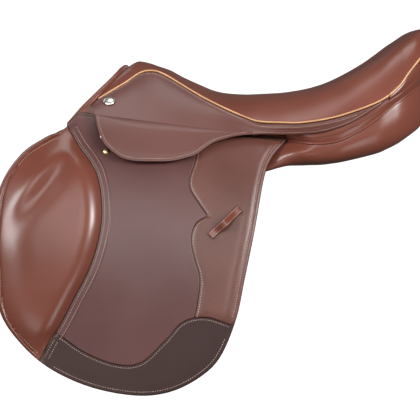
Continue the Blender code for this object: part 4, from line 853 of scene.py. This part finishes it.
# Flap and what is sewn on it; base is where a cover starts above the flap's leather.
flapLook = {"leather": 3.5, "gap": 0.05, "coversBelow": 4.0, "padSeamX": -69.4}
seamGap = {"grip": 0.2, "pad": 0.15, "cover": 0.3}   # how far each leather stops short of its seam
gripCover = {"base": 0.1, "leather": 2.5, "waves": 0.3, "waveX": 17, "waveZ": 24, "waveSlant": 29,
             "waveFade": 22}
hemCover = {"base": 0.1, "leather": 2.9}
padCover = {"base": 0.1, "edge": 2.4, "height": 4.0, "shoulder": 9.0, "ridge": 1.4, "ridgeAt": 15.0,
            "ridgeWidth": 5.0, "ridgeFade": (20, 16), "valley": 0.7, "valleyAt": 7.0, "valleyWidth": 2.2}
kneeCover = {"base": 0.1, "edge": 3.0, "height": 16.0, "frontWidth": 60.0, "seamWidth": 30.0,
             "topWidth": 90.0, "footWidth": 80.0, "crestFrom": (-312.0, -46.0), "crestTo": (-246.0, 34.0),
             "crestWidth": 12, "crestReach": 0.42, "crestFade": 20, "ridge": 2.6, "valley": 3.4,
             "valleyBeside": 20, "binding": 1.5, "bindingWidth": 5.6, "bindingFade": 16, "groove": 1.3,
             "grooveAt": 6.3, "grooveWidth": 0.9,
             "rim": (0, 0.25, 0.6, 1.1, 1.7, 2.4, 3.1, 3.8, 4.5, 5.1, 5.6, 6.2, 7.0, 8.0)}
flapCurve = smoothLine(flapEdge, 2.5)
flapRim = sideways(flapCurve, -1.0)
kneeCurve, hemCurve = smoothLine(kneeSeam, 2.5), smoothLine(hemSeam, 2.5)
lowCurve, highCurve = smoothLine(gripSeamLow, 2.0), smoothLine(gripSeamHigh, 2.0)
flapOutline = np.concatenate([foldLine(-227.4, 45.2, flapLook["gap"]), flapCurve[1:-1]])
gripKnee = between(sideways(kneeCurve, seamGap["grip"]), (-235, 53), (-246, -194))
gripHem = between(sideways(hemCurve, seamGap["grip"]), (-248, -201), (-82, -184))
gripLow, gripHigh = (sideways(curve, seamGap["pad"]) for curve in (lowCurve, highCurve))
gripOutline = np.concatenate([[[-237.6, 60.2]], gripKnee, gripHem, gripLow[1:-1], gripHigh[:-1],
                              foldLine(-70.3, -227, flapLook["coversBelow"]),
                              between(flapRim, (-227.5, 74), (-236.5, 62.5))[1:-1]])
gripLoop = np.concatenate([gripOutline, gripOutline[:1]])
padRim = flapRim[(flapRim[:, 0] > -60) & (flapRim[:, 1] > -186) & (flapRim[:, 1] < 38)]


def outerGrip(flat, distance):
    # the grip leather lies in slow waves that fade at its rim
    x, z = flat[..., 0], flat[..., 1]
    waves = (np.sin(x / gripCover["waveX"] + 0.6) * np.sin(z / gripCover["waveZ"])
             + 0.7 * np.sin((x + z) / gripCover["waveSlant"]))
    return (gripCover["base"] + gripCover["leather"] + edgeRound(distance, 0.9, gripCover["leather"])
            + gripCover["waves"] * waves * rise(gap(flat, gripLoop) / gripCover["waveFade"]))


# hem: from the knee seam's foot along the hem seam to the flap's rear edge
hemTop = sideways(hemCurve, -seamGap["cover"])[1:-1]
hemLow = between(flapRim, (-265, -242), (-24, -189))
hemLeft = np.stack([hemTop[0], between(sideways(kneeCurve, 0.5), (-262, -221), (-262, -221))[0], hemLow[0]])
hemRight = np.stack([hemTop[-1], hemLow[-1]])
hemFlat, hemFrom = patch(hemTop, hemLow, even(hemLeft, 3), even(hemRight, 1), 26, 60)
hemHeight = hemCover["base"] + hemCover["leather"] + edgeRound(hemFrom.min(0), 0.9, hemCover["leather"])

# rear pad: pebbled leather with a padded ridge that runs inside its rear edge
padTop = foldLine(flapLook["padSeamX"], padRim[0, 0], flapLook["coversBelow"])
padLeft = np.concatenate([padTop[:1], sideways(highCurve, -seamGap["pad"])[::-1][1:],
                          sideways(lowCurve, -seamGap["pad"])[::-1][1:-1]])
padTop = np.concatenate([padTop[:-1], padRim[:1]])
padLow = between(sideways(hemCurve, seamGap["cover"]), padLeft[-1], padRim[-1])
padLeft, padRight = even(padLeft, 2), even(padRim, 2)
padLow = np.concatenate([padLeft[-1:], padLow[1:-1], padRight[-1:]])
padFlat, padFrom = patch(padTop, padLow, padLeft, padRight, 110, 48)
fromLeft, fromRight, fromTop, fromLow = padFrom
padSwell = np.sin(np.minimum(padFrom.min(0) / padCover["shoulder"], 1) * np.pi / 2)
padRidge = padCover["ridge"] * bell(fromRight - padCover["ridgeAt"], padCover["ridgeWidth"])
fadeTop, fadeLow = padCover["ridgeFade"]
padHeight = (padCover["base"] + padCover["edge"] + (padCover["height"] - padCover["edge"]) * padSwell
             + padRidge * rise(fromTop / fadeTop) * rise(fromLow / fadeLow)
             - padCover["valley"] * bell(fromRight - padCover["valleyAt"], padCover["valleyWidth"])
             + edgeRound(padFrom.min(0), 1.0, padCover["edge"]))

# knee roll: cushion between the flap's front edge and the knee seam
rollLeft = between(flapRim, (-245, 54.5), (-274, -238))
rollRight = between(sideways(kneeCurve, -seamGap["cover"]), (-239, 58.5), (-272, -237))
rollTop, rollLow = (even(np.stack([rollLeft[end], rollRight[end]]), 0.5) for end in (0, -1))
rollFlat, rollFrom = patch(rollTop, rollLow, rollLeft, rollRight, 110, 60, rim=kneeCover["rim"])
fromLeft, fromRight, fromTop, fromLow = rollFrom
fullness = (swellOver(fromLeft, kneeCover["frontWidth"]) * swellOver(fromRight, kneeCover["seamWidth"])
            * swellOver(fromTop, kneeCover["topWidth"]) * swellOver(fromLow, kneeCover["footWidth"]))
# its crease is a soft ridge along a slanted axis with a valley below it, both fading at their ends
crestStep = np.array(kneeCover["crestTo"]) - kneeCover["crestFrom"]
crestLength = np.linalg.norm(crestStep)
fromCrest = rollFlat - kneeCover["crestFrom"]
onCrest = fromCrest @ crestStep / crestLength ** 2
besideCrest = fromCrest @ np.array([crestStep[1], -crestStep[0]]) / crestLength
relief = (kneeCover["ridge"] * bell(besideCrest, kneeCover["crestWidth"])
          - kneeCover["valley"] * bell(besideCrest - kneeCover["valleyBeside"], kneeCover["crestWidth"]))
relief = relief * bell(onCrest - 0.5, kneeCover["crestReach"]) * swellOver(fromLeft, kneeCover["crestFade"])
bindingShare = np.sin(np.pi * np.clip(fromLeft / kneeCover["bindingWidth"], 0, 1))
binding = (kneeCover["binding"] * np.sqrt(np.clip(bindingShare, 0, 1))
           - kneeCover["groove"] * bell(fromLeft - kneeCover["grooveAt"], kneeCover["grooveWidth"]))
fade = kneeCover["bindingFade"]
rollHeight = (kneeCover["base"] + kneeCover["edge"] + (kneeCover["height"] - kneeCover["edge"]) * fullness
              + relief + binding * rise(fromTop / fade) * rise(fromLow / fade)
              + edgeRound(rollFrom.min(0), 1.6, kneeCover["edge"]))

for sideName, side in sides:
    body = f"flap_{sideName}"
    flapForm = roundSheet(flapOutline, (-150, -90), lambda flat, distance: edgeRound(distance, 1.2, 3.5),
                          lambda flat, distance: -flapLook["leather"] - edgeRound(distance, 0.8, 3.5),
                          side, rings=34)
    makePiece(f"flapLeather.{sideName}", flapForm, strapLeather, body, body, crease=60,
              edge=dyedEdgeAndHoleShade, edgeFaces=len(flapCurve) - 2)
    gripForm = roundSheet(gripOutline, (-140, -70), outerGrip,
                          lambda flat, distance: 0 * distance + gripCover["base"], side, rings=30)
    makePiece(f"flapGrip.{sideName}", gripForm, gripLeather, body, f"flap_grip_{sideName}",
              crease=60)
    makePiece(f"flapHem.{sideName}", coverMesh(hemFlat, hemHeight, hemCover["base"], side), hemLeather,
              body, f"flap_hem_{sideName}", crease=60)
    makePiece(f"flapPad.{sideName}", coverMesh(padFlat, padHeight, padCover["base"], side), padLeather,
              body, f"flap_pad_{sideName}", crease=60)
    makePiece(f"kneeRoll.{sideName}", coverMesh(rollFlat, rollHeight, kneeCover["base"], side), calf,
              body, f"knee_roll_{sideName}", crease=70)
print("flaps made")

# Skirt: its fixed upper part and the lobe that lifts, flush with each other at the fold
skirtShape = {"leather": 4.5, "standOff": 10.0, "droop": 2.0, "bulge": 6.0, "creaseAt": 8.5, "crease": 0.5,
              "frontFullness": 3.4, "fullnessDepth": 12.0, "slope": 0.644, "slopeStretch": 1.244,
              "droopOver": 50, "belowWelt": 1.75, "bulgeOver": 60, "fineOver": 14, "levelCut": 1.245,
              "weltRim": 1.2, "edgeRim": 1.4, "rimDrop": 1.1}
stripEdge = denseRows(np.array(((0, 124.05, 49.65), (20, 125.5, 49), (41, 129, 48.5), (60, 133, 49),
                                (84, 137.5, 51), (108, 140, 57), (132, 140.5, 67), (157, 139, 82.5),
                                (175, 135.5, 95)), float))
skirtT = np.linspace(0, cantleStart, cantleStart * 6 + 1)
skirtQ = np.linspace(0, 1, 37)[None]


def frontFullness(x):
    # extra fullness of the lobe: none behind x -80, all of it 100 mm farther forward
    return skirtShape["frontFullness"] * rise((-80 - x) / 100)


def lobeUnder(flat):
    # offset of the lobe's inner face: it droops towards the flap and is fuller below the fold at its front
    depth = np.maximum(foldZ(flat[..., 0]) - flat[..., 1], 0)
    return (skirtShape["standOff"] - skirtShape["droop"] * np.clip(depth / skirtShape["droopOver"], 0, 1)
            + frontFullness(flat[..., 0]) * (1 - np.exp(-depth / skirtShape["fullnessDepth"])))


def skirtSurface(side):
    # Cubic from the welt to the fold with a direction at each end: it leaves as the strip's bulge does and
    # meets the fold along the lobe. Also its distances from the welt and from its lower edge, and x.
    welt = seatAt(skirtT, side * 1.0)
    x = welt[:, 0]
    onFold = drape(np.stack([x, foldZ(x) + 0.01], axis=1), skirtShape["standOff"] + skirtShape["leather"],
                   side)
    stripY, stripZ = sampled(x, stripEdge, (1, 2))
    edge = np.where(x[:, None] <= 0, onFold, np.stack([x, side * stripY, stripZ], axis=1))
    down = unit(edge - welt)
    out = unit(np.stack([0 * x, side * np.abs(down[:, 2]), np.abs(down[:, 1])], axis=1))
    start = welt + down * skirtShape["belowWelt"]
    chord = edge - start
    length = np.linalg.norm(chord, axis=1, keepdims=True)
    height = np.linalg.norm(edge - welt, axis=1, keepdims=True)
    fullness = skirtShape["bulge"] * np.minimum(height / skirtShape["bulgeOver"], 1)
    leave = chord + 4 * fullness * out
    arrive = chord - 4 * fullness * out
    slope = skirtShape["slope"] + skirtShape["slopeStretch"] * frontFullness(x) / skirtShape["fullnessDepth"]
    alongLobe = unit(np.stack([0 * x, side * slope, -np.ones(len(x))], axis=1)) * length
    share = rise((x + 6) / 26)[:, None]
    arrive = share * arrive + (1 - share) * alongLobe
    first = np.minimum(skirtShape["fineOver"] / length, 0.5)   # half of the columns lie before this share
    v = np.where(skirtQ < 0.5, skirtQ * 2 * first, first + (skirtQ * 2 - 1) * (1 - first))
    w = v[..., None]
    grid = ((2 * w ** 3 - 3 * w ** 2 + 1) * start[:, None] + (w ** 3 - 2 * w ** 2 + w) * leave[:, None]
            + (3 * w ** 2 - 2 * w ** 3) * edge[:, None] + (w ** 3 - w ** 2) * arrive[:, None])
    return grid, v, v * length, (1 - v) * length, x


lobeLow = smoothLine(skirtEdge, 2.0)[::-1]
lobeTop = foldLine(-203, -1.5, 0.01, 2.0)
lobeEnds = [even(np.stack([lobeTop[end], lobeLow[end]]), 1) for end in (0, -1)]
lobeFlat, _ = patch(lobeTop, lobeLow, *lobeEnds, 30, 110)
lobeHeight = lobeUnder(lobeFlat) + skirtShape["leather"] + edgeRound(gap(lobeFlat, lobeLow), 1.3, 4.5)
skirtGrids = {}
for sideName, side in sides:
    grid, v, fromWelt, fromEdge, x = skirtSurface(side)
    normal = gridNormal(grid, (0, side, 0.4))
    crease = skirtShape["crease"] * bell(fromWelt - skirtShape["creaseAt"], 1.0) * rise(fromEdge / 10)
    rim = (1 - rounded(fromWelt, skirtShape["weltRim"])
           + (1 - rounded(fromEdge, skirtShape["edgeRim"])) * rise(x / 4)[:, None])
    outer = grid - normal * (crease + skirtShape["rimDrop"] * np.minimum(rim, 1))[..., None]
    level = (rise((v - 0.8) / 0.2) * (x <= 0)[:, None])[..., None]   # at the fold the leather is cut level
    levelStep = np.array([0, side * skirtShape["leather"] * skirtShape["levelCut"], 0])
    inner = (1 - level) * (grid - normal * skirtShape["leather"]) + level * (grid - levelStep)
    makePiece(f"skirtTop.{sideName}", slabMesh(outer, inner), skirtLeather, "tree",
              f"skirt_top_{sideName}", crease=60, edge=dyedEdgeAndHoleShade, edgeFaces=rimCount(outer))
    skirtGrids[side] = (grid, normal, fromWelt, fromEdge, x)
    makePiece(f"skirtLobe.{sideName}", coverMesh(lobeFlat, lobeHeight, lobeUnder(lobeFlat), side),
              skirtLeather, f"skirt_{sideName}", f"skirt_{sideName}", crease=60,
              edge=dyedEdgeAndHoleShade, edgeFaces=rimCount(lobeFlat))

# Leather band that closes the side between the skirt's strip or the cantle facing and the panel's piping
bandLook = {"leather": 1.4, "bulge": 1.6, "behind": 3.4, "tuck": 3.0, "facingX": 172}
bandX = np.concatenate([np.linspace(44, 172, 66), np.linspace(175, 236, 34)])
for sideName, side in sides:
    bandLow = np.stack([bandX, *sampled(bandX, panelLine(side, 0.4), (1, 2))], axis=1)
    stripY, stripZ = sampled(bandX, stripEdge, (1, 2))
    stripTop = np.stack([bandX, side * (stripY - bandLook["behind"]), stripZ + bandLook["tuck"]], axis=1)
    facingY, facingZ = sampled(bandX, facingLow, (1, 2))
    facingSide = np.stack([bandX, side * (np.abs(facingY) - 1.0), facingZ + 2.0], axis=1)
    share = rise((bandX - bandLook["facingX"]) / 8)[:, None]
    bandTop = (1 - share) * stripTop + share * facingSide
    across = np.linspace(0, 1, 13)[None, :, None]
    bandGrid = (1 - across) * bandTop[:, None] + across * bandLow[:, None]
    bandGrid[..., 1] += side * bandLook["bulge"] * np.sin(np.pi * across[..., 0])
    bandNormal = gridNormal(bandGrid, (0, side, 0.2))
    makePiece(f"panelBand.{sideName}", slabMesh(bandGrid, bandGrid - bandLook["leather"] * bandNormal), calf,
              "tree", crease=60)
    middle = bandGrid[:, 6] + 0.1 * bandNormal[:, 6]
    bandRow = even(np.concatenate([middle, bandNormal[:, 6]], axis=1)[3:-2], stitchShape["pitch"])
    makePiece(f"bandStitch.{sideName}", stitchMesh(bandRow[:, :3], bandRow[:, 3:]), dyedEdgeAndHoleShade,
              "tree")
print("skirts made")

# Fixed flap top with the notch for the stirrup bar, and a corner leather in front of it
flapTopRows = np.array(((-223, 0.5), (-211, 9), (-204, 7), (-185, 14), (-165, 22), (-153.2, 25), (-153, 6),
                        (-67, 6), (-66.8, 21), (0, 11), (45, 9)))
flapTopX = np.unique(np.concatenate([np.linspace(-223, 45, 94), (-153.2, -153, -67, -66.8)]))
flapTopRise, = sampled(flapTopX, flapTopRows, (1,))
flapTopFlat = np.stack([np.broadcast_to(flapTopX, (8, len(flapTopX))), foldZ(flapTopX)[None] + 0.05
                        + np.linspace(0, 1, 8)[:, None] * flapTopRise[None]], axis=-1)
cornerLook = {"x": (-222, -192), "below": 1.0, "offset": -1.6, "leather": (0.8, 1.2)}
cornerX = np.linspace(*cornerLook["x"], 16)
onRoll = [np.interp(-cornerX, -pommelHalf[:, 0], pommelHalf[:, c]) for c in (1, 2)]
topZ = foldZ(cornerX) + np.interp(cornerX, flapTopX, flapTopRise) - cornerLook["below"]
onTop = drape(np.stack([cornerX, topZ], axis=-1), cornerLook["offset"], 1)
across = np.linspace(0, 1, 9)[None, :, None]
cornerGrid = (1 - across) * np.stack([cornerX, *onRoll], axis=-1)[:, None] + across * onTop[:, None]
for sideName, side in sides:
    makePiece(f"flapTop.{sideName}", coverMesh(flapTopFlat, 0.0, -flapLook["leather"], side), calf,
              "tree", f"flap_top_{sideName}", crease=50)
    corner = cornerGrid * np.array([1, side, 1])
    cornerStep = np.array([0, side * cornerLook["leather"][0], cornerLook["leather"][1]])
    makePiece(f"frontCorner.{sideName}", slabMesh(corner, corner - cornerStep), calf,
              "tree", crease=50)

# Girth straps, cut narrower at the tip, with punched holes shown as dark discs of painted shade, and two rows
# of stitches
strapShape = {"front": -119.5, "pitch": 41.0, "half": 12.5, "end": -188.0, "above": 8.0, "outer": -7.3,
              "leather": 4.0, "tipHalf": 6.9, "tipSlope": 0.8, "holes": 9, "firstHole": 22.0,
              "holeSpacing": 19.0, "holeRadius": 2.1, "rows": (-9.5, 9.5), "rowsBelow": 12, "rowsAbove": 9}
strapRow = np.concatenate([np.linspace(0, 0.965, 60), (0.97, 0.976, 0.982, 0.988, 0.993, 0.997, 1)])
strapAcross = closeToRims(12, np.array([0.0, 0.01, 0.03, 0.06]))
punch = strapShape["holeRadius"] * np.stack(circle(12), axis=1)
for sideName, side in sides:
    for number in (1, 2, 3):
        body = f"girth_strap_{sideName}_{number}"
        x0 = strapShape["front"] + (number - 1) * strapShape["pitch"]
        top = foldZ(x0) + strapShape["above"]
        z = top + strapRow * (strapShape["end"] - top)
        fromEnd = z - strapShape["end"]
        half = strapShape["tipHalf"] + fromEnd[:, None] * strapShape["tipSlope"]
        half = np.minimum(half, strapShape["half"])
        flat = np.stack([x0 + half * (2 * strapAcross[None] - 1), z[:, None] + 0 * strapAcross[None]],
                        axis=-1)
        near = np.minimum(np.minimum(strapAcross, 1 - strapAcross)[None] * 2 * half, fromEnd[:, None])
        soft = edgeRound(near, 0.9, 3)
        under = strapShape["outer"] - strapShape["leather"] - soft
        makePiece(f"girthStrap.{sideName}.{number}", coverMesh(flat, strapShape["outer"] + soft, under, side),
                  strapLeather, body, body, crease=60)
        # the holes are not cut: each is a dark disc just proud of the strap, painted shade for the hole's
        # depth
        holeZ = (strapShape["end"] + strapShape["firstHole"]
                 + strapShape["holeSpacing"] * np.arange(strapShape["holes"]))
        punched = np.stack([0 * holeZ + x0, holeZ], axis=1)[:, None] + punch[None]
        holeLow, holeTop = (drape(punched, strapShape["outer"] + height, side) for height in (-0.5, 0.06))
        holes = joinMeshes([ringMesh(np.stack(ends)) for ends in zip(holeLow, holeTop)])
        makePiece(f"strapHoleShade.{sideName}.{number}", holes, dyedEdgeAndHoleShade, body, crease=30)
        sewnZ = (top - strapShape["rowsBelow"], strapShape["end"] + strapShape["rowsAbove"])
        rows = [sewnRow(np.array([[x0 + e, sewnZ[0]], [x0 + e, sewnZ[1]]]),
                        strapShape["outer"] + 0.1, side) for e in strapShape["rows"]]
        makePiece(f"strapStitch.{sideName}.{number}", joinMeshes(rows), thread, body)

# Sweat flaps under the straps, and the pad on the inside of each
sweatLook = {"leather": 3.0, "inset": -12.0, "padInset": -26.0, "padEdge": 2.4,
             "padHeight": 7.0, "padShoulder": 22.0}
sweatInset = sideways(flapCurve, sweatLook["inset"])
sweatOutline = np.concatenate([[[12, foldZ(12) - 14]], between(sweatInset, (10, 20), (-250, 40))[3:-3],
                               [[-222, foldZ(-222) - 22]]])
sweatOutline = np.concatenate([sweatOutline, even(np.stack([sweatOutline[-1], sweatOutline[0]]), 3.0)[1:-1]])
padInset = sideways(flapCurve, sweatLook["padInset"])
padInset = padInset[(foldZ(padInset[:, 0]) - padInset[:, 1] > 54) & (padInset[:, 1] > -205)]
padLoop = even(np.concatenate([padInset, padInset[:1]]), 3.0)[:-1]
sweatUnder = sweatOffset - sweatLook["leather"]


def underPad(flat, distance):
    # inner face of the pad: a thin edge and a swell that is full past its shoulder
    swell = sweatLook["padHeight"] * rounded(distance, sweatLook["padShoulder"])
    return sweatUnder - sweatLook["padEdge"] - swell


for sideName, side in sides:
    sweatForm = roundSheet(sweatOutline, (-150, -90),
                           lambda flat, distance: sweatOffset + edgeRound(distance, 0.9, 3),
                           lambda flat, distance: sweatUnder - edgeRound(distance, 0.9, 3), side, rings=28)
    makePiece(f"sweatFlap.{sideName}", sweatForm, strapLeather, "tree",
              f"sweat_flap_{sideName}", crease=60)
    padForm = roundSheet(padLoop, (-150, -70), lambda flat, distance: sweatUnder - 0.1 + 0 * distance,
                         underPad, side, rings=24)
    makePiece(f"sweatPad.{sideName}", padForm, calf, "tree", f"sweat_pad_{sideName}",
              crease=75)
print("straps and sweat flaps made")

# Keeper, saddle nail, stud and dee ring
keeperLook = {"from": (-16.0, -43.0), "to": (-54.0, -78.0), "length": 51.6, "width": 10.0, "leather": 2.4,
              "lift": 8.0, "base": 4.8, "rows": (-3.3, 3.3), "sewnShare": 0.15}
nailLook = {"x": -186.0, "z": 91.5, "radius": 8.0, "height": 4.0}
studLook = {"place": (-188.0, 27.0), "offset": 2.6, "radius": 4.5, "height": 3.4}
deeLook = {"x": -184.0, "half": 11.0, "depth": 8.0, "below": 14.0, "offset": 4.7, "radius": 1.5,
           "square": 1.25}
keeperStart, keeperEnd = np.array(keeperLook["from"]), np.array(keeperLook["to"])
keeperStep = keeperEnd - keeperStart
keeperSide = unit(keeperStep)[::-1] * np.array([-1, 1])
keeperShare = closeToRims(44, np.array([0.0, 0.01, 0.025]))
keeperAcross = closeToRims(8, np.array([0.0, 0.04, 0.09]))
keeperFlat = (keeperStart + keeperShare[:, None, None] * keeperStep
              + (keeperAcross[None, :, None] - 0.5) * keeperLook["width"] * keeperSide)
keeperNear = np.minimum(np.minimum(keeperAcross, 1 - keeperAcross)[None] * keeperLook["width"],
                        (np.minimum(keeperShare, 1 - keeperShare) * keeperLook["length"])[:, None])


def keeperHeight(share):
    # inner face of the keeper's loop, which stands up between its sewn ends
    sewn = keeperLook["sewnShare"]
    loose = np.clip((share - sewn) / (1 - 2 * sewn), 0, 1)
    return keeperLook["base"] + keeperLook["lift"] * np.sin(np.pi * loose) ** 2


def dome(place, axis, shape, rows=10, around=28):
    # rounded button: circles square to its axis whose radius falls as a quarter ellipse while they rise
    axis = unit(axis)
    across = unit(np.cross(axis, (1.0, 0, 0)))
    other = np.cross(axis, across)
    angle = np.linspace(0, np.pi / 2 - 0.12, rows)[1:]
    radii = shape["radius"] * np.concatenate([[0.96, 1], np.cos(angle) ** 0.8])
    rises = np.concatenate([[0.4, 0.6], 0.9 + (shape["height"] - 0.9) * np.sin(angle) ** 1.1])
    cosine, sine = circle(around)
    return ringMesh(place + rises[:, None, None] * axis + radii[:, None, None]
                    * (cosine[None, :, None] * across + sine[None, :, None] * other))


for sideName, side in sides:
    keeperUnder = keeperHeight(keeperShare)[:, None] + 0 * keeperNear
    keeperForm = coverMesh(keeperFlat, keeperUnder + keeperLook["leather"] + edgeRound(keeperNear, 0.7, 2.4),
                           keeperUnder, side)
    makePiece(f"keeper.{sideName}", keeperForm, calf, f"flap_{sideName}",
              f"keeper_{sideName}", crease=60)
    grid, normal, fromWelt, fromEdge, x = skirtGrids[side]
    row = int(np.argmin(np.abs(x - nailLook["x"])))
    column = int(np.argmin(np.abs(grid[row, :, 2] - nailLook["z"])))
    makePiece(f"saddleNail.{sideName}", dome(grid[row, column], normal[row, column], nailLook, 12, 36), steel,
              "tree", f"saddle_nail_{sideName}", crease=50)
    studPlace = np.array(studLook["place"])
    studForm = dome(drape(studPlace, studLook["offset"], side), drapeNormal(studPlace, side), studLook)
    makePiece(f"flapStud.{sideName}", studForm, brass, f"flap_{sideName}", f"flap_stud_{sideName}",
              crease=50)
    # a D: a straight bar above and a round bow below, from a squared circle softened once
    cosine, sine = circle(64)
    barX = deeLook["x"] + deeLook["half"] * np.sign(sine) * np.minimum(1, np.abs(sine) * deeLook["square"])
    drop = deeLook["depth"] * (1 - np.clip(deeLook["square"] * cosine, -1, 1))
    deePath = drape(np.stack([barX, foldZ(barX) - deeLook["below"] - drop], axis=1), deeLook["offset"], side)
    deePath = (np.roll(deePath, 1, axis=0) + 2 * deePath + np.roll(deePath, -1, axis=0)) / 4
    makePiece(f"deeRing.{sideName}", tubeMesh(deePath, deeLook["radius"], 12, closed=True), steel,
              f"dee_{sideName}", f"dee_ring_{sideName}")
print("trim made")

# Inner pieces kept from the CAD frame, with real finishes
steelNodes = ["head_plate", "gullet_plate"] + [f"{name}_{sideName}" for sideName, _ in sides for name in (
    "rail_spring", "stirrup_bar", "bar_catch", "catch_pin", "dee_staple")]
for material, names in ((beech, ("tree_head", "tree_rails")), (steel, steelNodes)):
    for nodeName in names:
        for place in nodes[nodeName].material_slots:
            place.material = material


def softCopy(name, source, material, radius):
    # a piece of the frame again, its sharp edges rounded over by this many millimetres
    form = bmesh.new()
    form.from_mesh(nodes[source].data)
    form.transform(nodes[source].matrix_world)
    bmesh.ops.remove_doubles(form, verts=form.verts, dist=1e-5)
    sharp = [e for e in form.edges if len(e.link_faces) == 2 and e.calc_face_angle() > 0.9]
    bmesh.ops.bevel(form, geom=sharp, offset=radius / 1000, segments=2, profile=0.5, affect="EDGES")
    mesh = bpy.data.meshes.new(name + "Form")
    form.to_mesh(mesh)
    form.free()
    points = np.empty(len(mesh.vertices) * 3)
    mesh.vertices.foreach_get("co", points)
    faces = [list(face.vertices) for face in mesh.polygons]
    bpy.data.meshes.remove(mesh)
    makePiece(name, (points * 1000, faces), material, "tree", source, crease=50)


softCopy("seatWeb", "seat_web", tape, 0.5)
softCopy("girthWeb", "girth_web", tape, 0.5)
softCopy("channelLining", "channel_lining", strapLeather, 0.8)


# Stitching, one object for each body and thread, and the sewn band beside the knee seam
def rowAt(distance, places, normals, wanted):
    # place and normal on one row of a grid at this distance along it
    return np.array([np.interp(wanted, distance, part[:, c]) for part in (places, normals) for c in range(3)])


kneeBand = {"widths": (0, 0.3, 0.9, 2.0, 4.0, 6.0, 8.0, 9.8, 10.9, 11.5, 11.8),
            "heights": (0.1, 0.45, 0.65, 0.7, 0.66, 0.62, 0.66, 0.7, 0.65, 0.45, 0.1), "under": 0.5}
stitchAt = {"grip": 3.4, "hem": 3.1, "lobe": -3.4, "welt": 4.6, "strip": 3.0, "over": 0.1}
gripTop = gripCover["base"] + gripCover["leather"]
bandLine = between(sideways(kneeCurve, seamGap["cover"]), (-237.5, 57), (-250, -200))
bandAcross = np.stack([sideways(bandLine, width) for width in kneeBand["widths"]], axis=1)
keeperRow = np.linspace(0.04, 0.96, 17)
# rows of the flap: beside the knee seam, round the hem, at the seam's foot, along the pad, on the knee roll
flapRows = [(sideways(kneeCurve, e)[4:-16], stitchAt["grip"]) for e in (3.6, 9.4)]
flapRows += [(sideways(hemCurve, -3.0)[3:-2], stitchAt["hem"]),
             (sideways(between(flapRim, (-258, -247), (-28, -205)), 4.4)[2:-2], stitchAt["hem"])]
flapRows += [(sideways(between(kneeCurve, (-256, -208), (-266, -228)), e), stitchAt["hem"])
             for e in (4.5, 9.5)]
flapRows += [(line, restingOn((padFlat, padHeight))) for line in (
    sideways(lowCurve, -3.0)[2:-2], sideways(highCurve, -3.0)[2:-4], sideways(padRim, -4.6)[2:-2])]
flapRows.append((sideways(between(flapRim, (-245, 51), (-268, -240)), 6.6)[3:-6],
                 restingOn((rollFlat, rollHeight))))
for sideName, side in sides:
    bandTop = drape(bandAcross, gripTop + np.array(kneeBand["heights"])[None], side)
    bandLow = drape(bandAcross[:, ::-1], gripTop - kneeBand["under"], side)
    makePiece(f"kneeBand.{sideName}", ringMesh(np.concatenate([bandTop, bandLow], axis=1)), gripLeather,
              f"flap_{sideName}")

    rows = [sewnRow(line, offset, side) for line, offset in flapRows]
    for e in keeperLook["rows"]:
        line = keeperStart + keeperRow[:, None] * keeperStep + keeperSide * e
        height = keeperHeight(keeperRow) + keeperLook["leather"] + stitchAt["over"]
        rows.append(stitchMesh(drape(line, height, side), drapeNormal(line, side)))
    makePiece(f"flapStitch.{sideName}", joinMeshes(rows), thread, f"flap_{sideName}")

    lobeRow = sewnRow(sideways(smoothLine(skirtEdge, 2.0), stitchAt["lobe"])[3:-3],
                      lambda line: lobeUnder(line) + skirtShape["leather"] + stitchAt["over"], side)
    makePiece(f"skirtStitch.{sideName}", lobeRow, thread, f"skirt_{sideName}")

    # rows of the tree: under the welt and along the strip's lower edge
    grid, normal, fromWelt, fromEdge, x = skirtGrids[side]
    weltRow = [rowAt(fromWelt[i], grid[i], normal[i], stitchAt["welt"]) for i in range(4, len(x) - 12)]
    stripRow = [rowAt(fromEdge[i][::-1], grid[i][::-1], normal[i][::-1], stitchAt["strip"])
                for i in range(len(x)) if 2 < x[i] < 165]
    treePaths = [even(np.stack(path), stitchShape["pitch"]) for path in (weltRow, stripRow)]
    treeRows = [stitchMesh(path[:, :3], path[:, 3:]) for path in treePaths]
    makePiece(f"treeStitch.{sideName}", joinMeshes(treeRows), thread, "tree")
print("stitching made")
